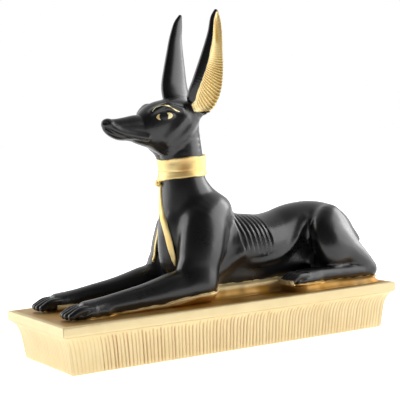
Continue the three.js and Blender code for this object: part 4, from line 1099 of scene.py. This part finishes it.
def cloth_wash(places):
    """Brown wash brushed over both sides of the collar."""
    turn = np.arctan2(places[:, 1], places[:, 0] - COLLAR_X)
    beside = swell(np.abs(turn), 1.95, 0.33) * (places[:, 2] > 68)
    return np.clip(0.85 * beside * (1 + 0.25 * np.sin(places[:, 2] / 1.7)), 0, 1)


def none(places):
    return np.zeros(len(places))


def carve(name, distance, low, high, step, material, node, attributes, fine_zone=None):
    """Meshes one piece and paints it by the functions that give its attributes."""
    places, faces = sculpted(distance, low, high, step, fine_zone)
    values = {label: worked_out(places) for label, worked_out in attributes.items()}
    make_piece(name, on_plinth(places), faces, material, node, values)


figure_material = painted_figure()
cloth_material = gold_cloth()
plinth_material = gold_plinth()

carve("jackal_body", body_piece, (-106, -36, -3), (112, 36, 80), BODY_STEP, figure_material, "jackal",
      {"gilt": figure_gilding, "wash_and_shade": none}, body_fine_zone)
carve("jackal_head", head_piece, (-80, -24, 76), (22, 24, 122), HEAD_STEP, figure_material, "jackal",
      {"gilt": head_gilding, "wash_and_shade": head_painted_shade})
carve("jackal_ears", ear_piece, (-30, -32, 106), (24, 32, 171), EAR_STEP, figure_material, "jackal",
      {"gilt": head_gilding, "wash_and_shade": head_painted_shade})
carve("jackal_scarf", cloth_piece, (-38, -18, 18), (6, 18, 90), CLOTH_STEP, cloth_material, "jackal",
      {"wash_and_shade": cloth_wash})


# Plinth: a profile carried round the slab and down the fluted skirt

FLUTE_STEPS = 8
GROOVE_DEPTH = 0.6
GROOVE_HALF = 0.16
FAINT_END = 0.45
FAINT_CORNER = 0.35
FAINT_CORNER_SHARE = 0.09
RIM_ROUND = 0.9
SLAB_CORNER = 0.5
SKIRT_CORNER = 1.6
SKIRT_HEIGHT = SLAB_TOP - SLAB_THICKNESS
NEAR_SIDE, REAR_END, FAR_SIDE, FRONT_END = range(4)

# How far in from the edge and how far below the top the slab's profile runs
SLAB_PROFILE = [
    (RIM_ROUND, 0), (RIM_ROUND * 0.5, 0.12), (RIM_ROUND * 0.15, 0.4), (0, 0.9), (0, 2.0),
    (0.05, SLAB_THICKNESS / 2), (0, 3.8), (0.05, SLAB_THICKNESS - 0.8), (0.3, SLAB_THICKNESS - 0.25),
    (0.7, SLAB_THICKNESS),
]
SKIRT_LEVELS = [
    0.05, 0.35, 0.8, 1.2, 1.7, 2.3, 3, 4, 5.2, 6.5, 8, CAVETTO_HEIGHT,
    *np.linspace(CAVETTO_HEIGHT + 2, SKIRT_HEIGHT - 0.6, 6), SKIRT_HEIGHT - 0.25, SKIRT_HEIGHT,
]


def wave_noise(count, waves, seed):
    """Smooth wandering numbers, the same each run, for uneven hand work."""
    rng = np.random.default_rng(seed)
    t = np.linspace(0, 1, count)
    total = np.zeros(count)
    for wave in waves:
        total += np.sin(2 * math.pi * (wave * t + rng.random())) / math.sqrt(len(waves))
    return total


def skirt_inset(below):
    """How far in the skirt stands, so far below the slab: a cavetto, then a straight batter."""
    curve = np.clip(below / CAVETTO_HEIGHT, 0, 1)
    return CAVETTO_DEPTH * np.sqrt(1 - (1 - curve) ** 2) + FOOT_BATTER * below / SKIRT_HEIGHT


def perimeter():
    """Columns round the plinth: side, share of that side, phase in the flute and the flute's unevenness."""
    rng = np.random.default_rng(11)
    columns = []
    for side in range(4):
        length = PLINTH_LENGTH if side % 2 == 0 else PLINTH_WIDTH
        flutes = round((length - 2 * CAVETTO_DEPTH) / FLUTE_PITCH)
        for flute in range(flutes):
            unevenness = rng.uniform(-1, 1, 4)
            for step in range(FLUTE_STEPS):
                phase = step / FLUTE_STEPS
                columns.append((side, (flute + phase) / flutes, phase, *unevenness))
        columns.append((side, 1, 0, 0, 0, 0, 0))
    return np.array(columns)


def groove_profile(columns, below):
    """The depth of the grooves at each column, as a share, so far below the slab."""
    side, share, phase, shift, depth, start, sway = columns.T
    fade = smooth_step(below, 1.2 + 0.7 * start, 3.2 + 1.0 * start)
    fade *= 1 - 0.75 * smooth_step(below, SKIRT_HEIGHT - 1.2, SKIRT_HEIGHT)
    centre = 0.5 + 0.09 * shift + 0.05 * sway * math.sin(below / 4)
    faint = np.where(side == FRONT_END, FAINT_END, 1)
    faint = faint * np.where((side == NEAR_SIDE) & (share < FAINT_CORNER_SHARE), FAINT_CORNER, 1)
    return np.exp(-(((phase - centre) / GROOVE_HALF) ** 2)) * fade * (1 + 0.25 * depth) * faint


def ring_at(columns, inset, drop, corner):
    """The points of one level, so far in from the slab's edge and below its top."""
    side, share = columns.T[:2]
    half_x = PLINTH_LENGTH / 2 - inset
    half_y = PLINTH_WIDTH / 2 - inset
    t = 2 * share - 1
    on_side = [side == NEAR_SIDE, side == REAR_END, side == FAR_SIDE]
    x = np.select(on_side, [t * half_x, half_x, -t * half_x], -half_x)
    y = np.select(on_side, [-half_y, t * half_y, half_y], -t * half_y)
    x, y = rounded_off(x, y, half_x, half_y, corner)
    return np.stack([x, y, np.full(len(x), SLAB_TOP - drop)], 1)


def rounded_off(x, y, half_x, half_y, radius):
    """Pulls the points near a corner onto an arc."""
    dx = np.abs(x) - (half_x - radius)
    dy = np.abs(y) - (half_y - radius)
    reach = np.maximum(np.hypot(dx, dy), 1e-9)
    scale = np.where((dx > 0) & (dy > 0), np.minimum(radius / reach, 1), 1)
    return np.sign(x) * (half_x - radius + dx * scale), np.sign(y) * (half_y - radius + dy * scale)


def plinth_sides():
    columns = perimeter()
    uneven = wave_noise(len(columns), (2, 5, 9, 17), 3) * 0.12
    rings = []
    grooves = []
    for inset, drop in SLAB_PROFILE:
        rings.append(ring_at(columns, inset + uneven * 0.4, drop, SLAB_CORNER))
        grooves.append(np.zeros(len(columns)))
    for below in SKIRT_LEVELS:
        groove = groove_profile(columns, below)
        foot_round = 0.35 if below > SKIRT_HEIGHT - 0.3 else 0
        inset = skirt_inset(below) + uneven + foot_round + GROOVE_DEPTH * groove
        rings.append(ring_at(columns, inset, SLAB_THICKNESS + below, SKIRT_CORNER))
        grooves.append(groove)
    return rings, grooves


def close_loft(rings, values):
    """Quads between the rings, with the first and the last drawn in to the middle."""
    count = len(rings[0])
    deck = [rings[0] * [step, step, 1] for step in (0.02, 0.3, 0.6, 0.9, 0.999)]
    foot = [rings[-1] * [step, step, 1] for step in (0.999, 0.5, 0.02)]
    levels = [*deck, *rings, *foot]
    values = [np.zeros(count)] * len(deck) + values + [np.zeros(count)] * len(foot)
    column = np.arange(count)
    after = (column + 1) % count
    quads = []
    for level in range(len(levels) - 1):
        upper, lower = level * count, (level + 1) * count
        quads.append(np.stack([upper + column, lower + column, lower + after, upper + after], 1))
    return np.vstack(levels), np.vstack(quads), np.concatenate(values)


def bed_crease_shade(places):
    """Painted shade: brown in the crease at the foot of the bed, where it meets the deck."""
    return np.exp(-np.maximum(places[:, 2] - 0.6, 0) / 2.2)


places, quads, groove = close_loft(*plinth_sides())
make_piece("plinth_block", places * MM, quads, plinth_material, "plinth", {
    "groove": groove, "foot": none(places),
})
carve("plinth_bed", bed_piece, (-108, -38, -3), (112, 38, 12), BED_STEP, plinth_material, "plinth",
      {"groove": none, "foot": bed_crease_shade})


# Floor, light and camera

FLOOR_GLOW = 0.85
FLOOR_RADIUS = 6
FLOOR_DROP = 0.0002
FLOOR_WHITES = ((0.86, 0.86, 0.86), (0.90, 0.90, 0.90))
LIT_POINT = Vector((0, 0, 0.08))
DIM_SIDE = (-0.49, -0.87, 0.45)
WALL_RANGE = (0.8, 0.08)

# Azimuth from the near side toward the rear end, reach and rise in metres, width, height, watts
SOFTBOXES = {
    "side_left": (-140, 0.9, 0.45, 0.9, 0.8, 5.2),
    "side_right": (66, 0.9, 0.4, 1.0, 0.75, 7),
    "strip_right": (100, 1.0, 0.45, 0.34, 0.5, 2.4),
    "strip_left": (-108, 0.9, 0.4, 0.12, 0.5, 0.8),
}

# Camera: azimuth, elevation and roll in degrees, distance in metres, lens in pixels of the frame
CAMERA_TURN = (-29.279, 4.056, -2.970)
CAMERA_DISTANCE = 0.720563
CAMERA_TARGET = Vector((-0.000905, 0, 0.084904))
FOCAL_PX, FRAME_PX, SENSOR = 1215.901, 400, 36


def add_floor():
    bpy.ops.mesh.primitive_circle_add(
        vertices=96, radius=FLOOR_RADIUS, fill_type="NGON", location=(0, 0, -FLOOR_DROP),
    )
    floor = bpy.context.object
    floor.name = "floor"
    paint = Paint("floor_white")
    floor.data.materials.append(paint.coat({
        "Base Color": paint.ramp(paint.noise(3, 2), 0, FLOOR_WHITES[0], 1, FLOOR_WHITES[1]),
        "Roughness": 0.9,
        "Specular IOR Level": 0.0,
        "Emission Color": (1, 1, 1),
        "Emission Strength": FLOOR_GLOW,
    }))


def add_softbox(name, azimuth, reach, rise, width, height, power):
    """A rectangular light that faces the object."""
    angle = math.radians(azimuth)
    place = Vector((reach * math.sin(angle), -reach * math.cos(angle), rise))
    data = bpy.data.lights.new(name, "AREA")
    data.shape = "RECTANGLE"
    data.size = width
    data.size_y = height
    data.energy = power
    lamp = bpy.data.objects.new(name, data)
    bpy.context.collection.objects.link(lamp)
    lamp.location = place
    lamp.rotation_mode = "QUATERNION"
    lamp.rotation_quaternion = (LIT_POINT - place).to_track_quat("-Z", "Y")
    lamp.visible_camera = False


def add_world():
    """White studio walls, brighter behind the object than on the side of the camera."""
    world = bpy.data.worlds.new("studio")
    bpy.context.scene.world = world
    studio = Nodes(world)
    place = studio.nodes.new("ShaderNodeTexCoord").outputs["Generated"]
    toward = studio.nodes.new("ShaderNodeVectorMath")
    toward.operation = "DOT_PRODUCT"
    dim = studio.fill(toward, {0: place, 1: DIM_SIDE})["Value"]
    walls = studio.map_range(dim, -0.3, 0.8, *WALL_RANGE)
    seen = studio.nodes.new("ShaderNodeLightPath").outputs["Is Camera Ray"]
    studio.fill(studio.nodes["Background"], {
        "Color": (1, 1, 1), "Strength": studio.mix_value(seen, walls, 1.0),
    })


def add_camera():
    azimuth, elevation, roll = (math.radians(angle) for angle in CAMERA_TURN)
    level = math.cos(elevation)
    back = Vector((math.sin(azimuth) * level, -math.cos(azimuth) * level, math.sin(elevation)))
    right = (-back).cross(Vector((0, 0, 1))).normalized()
    up = right.cross(-back)
    level_right = right * math.cos(roll) + up * math.sin(roll)
    level_up = up * math.cos(roll) - right * math.sin(roll)
    data = bpy.data.cameras.new("camera")
    data.sensor_width = SENSOR
    data.lens = SENSOR * FOCAL_PX / FRAME_PX
    data.clip_start = 0.01
    camera = bpy.data.objects.new("camera", data)
    bpy.context.collection.objects.link(camera)
    rotation = Matrix((level_right, level_up, back)).transposed().to_4x4()
    camera.matrix_world = Matrix.Translation(CAMERA_TARGET + back * CAMERA_DISTANCE) @ rotation
    bpy.context.scene.camera = camera


add_floor()
add_world()
for name, setting in SOFTBOXES.items():
    add_softbox(name, *setting)
add_camera()
bpy.context.scene.view_settings.view_transform = "Standard"
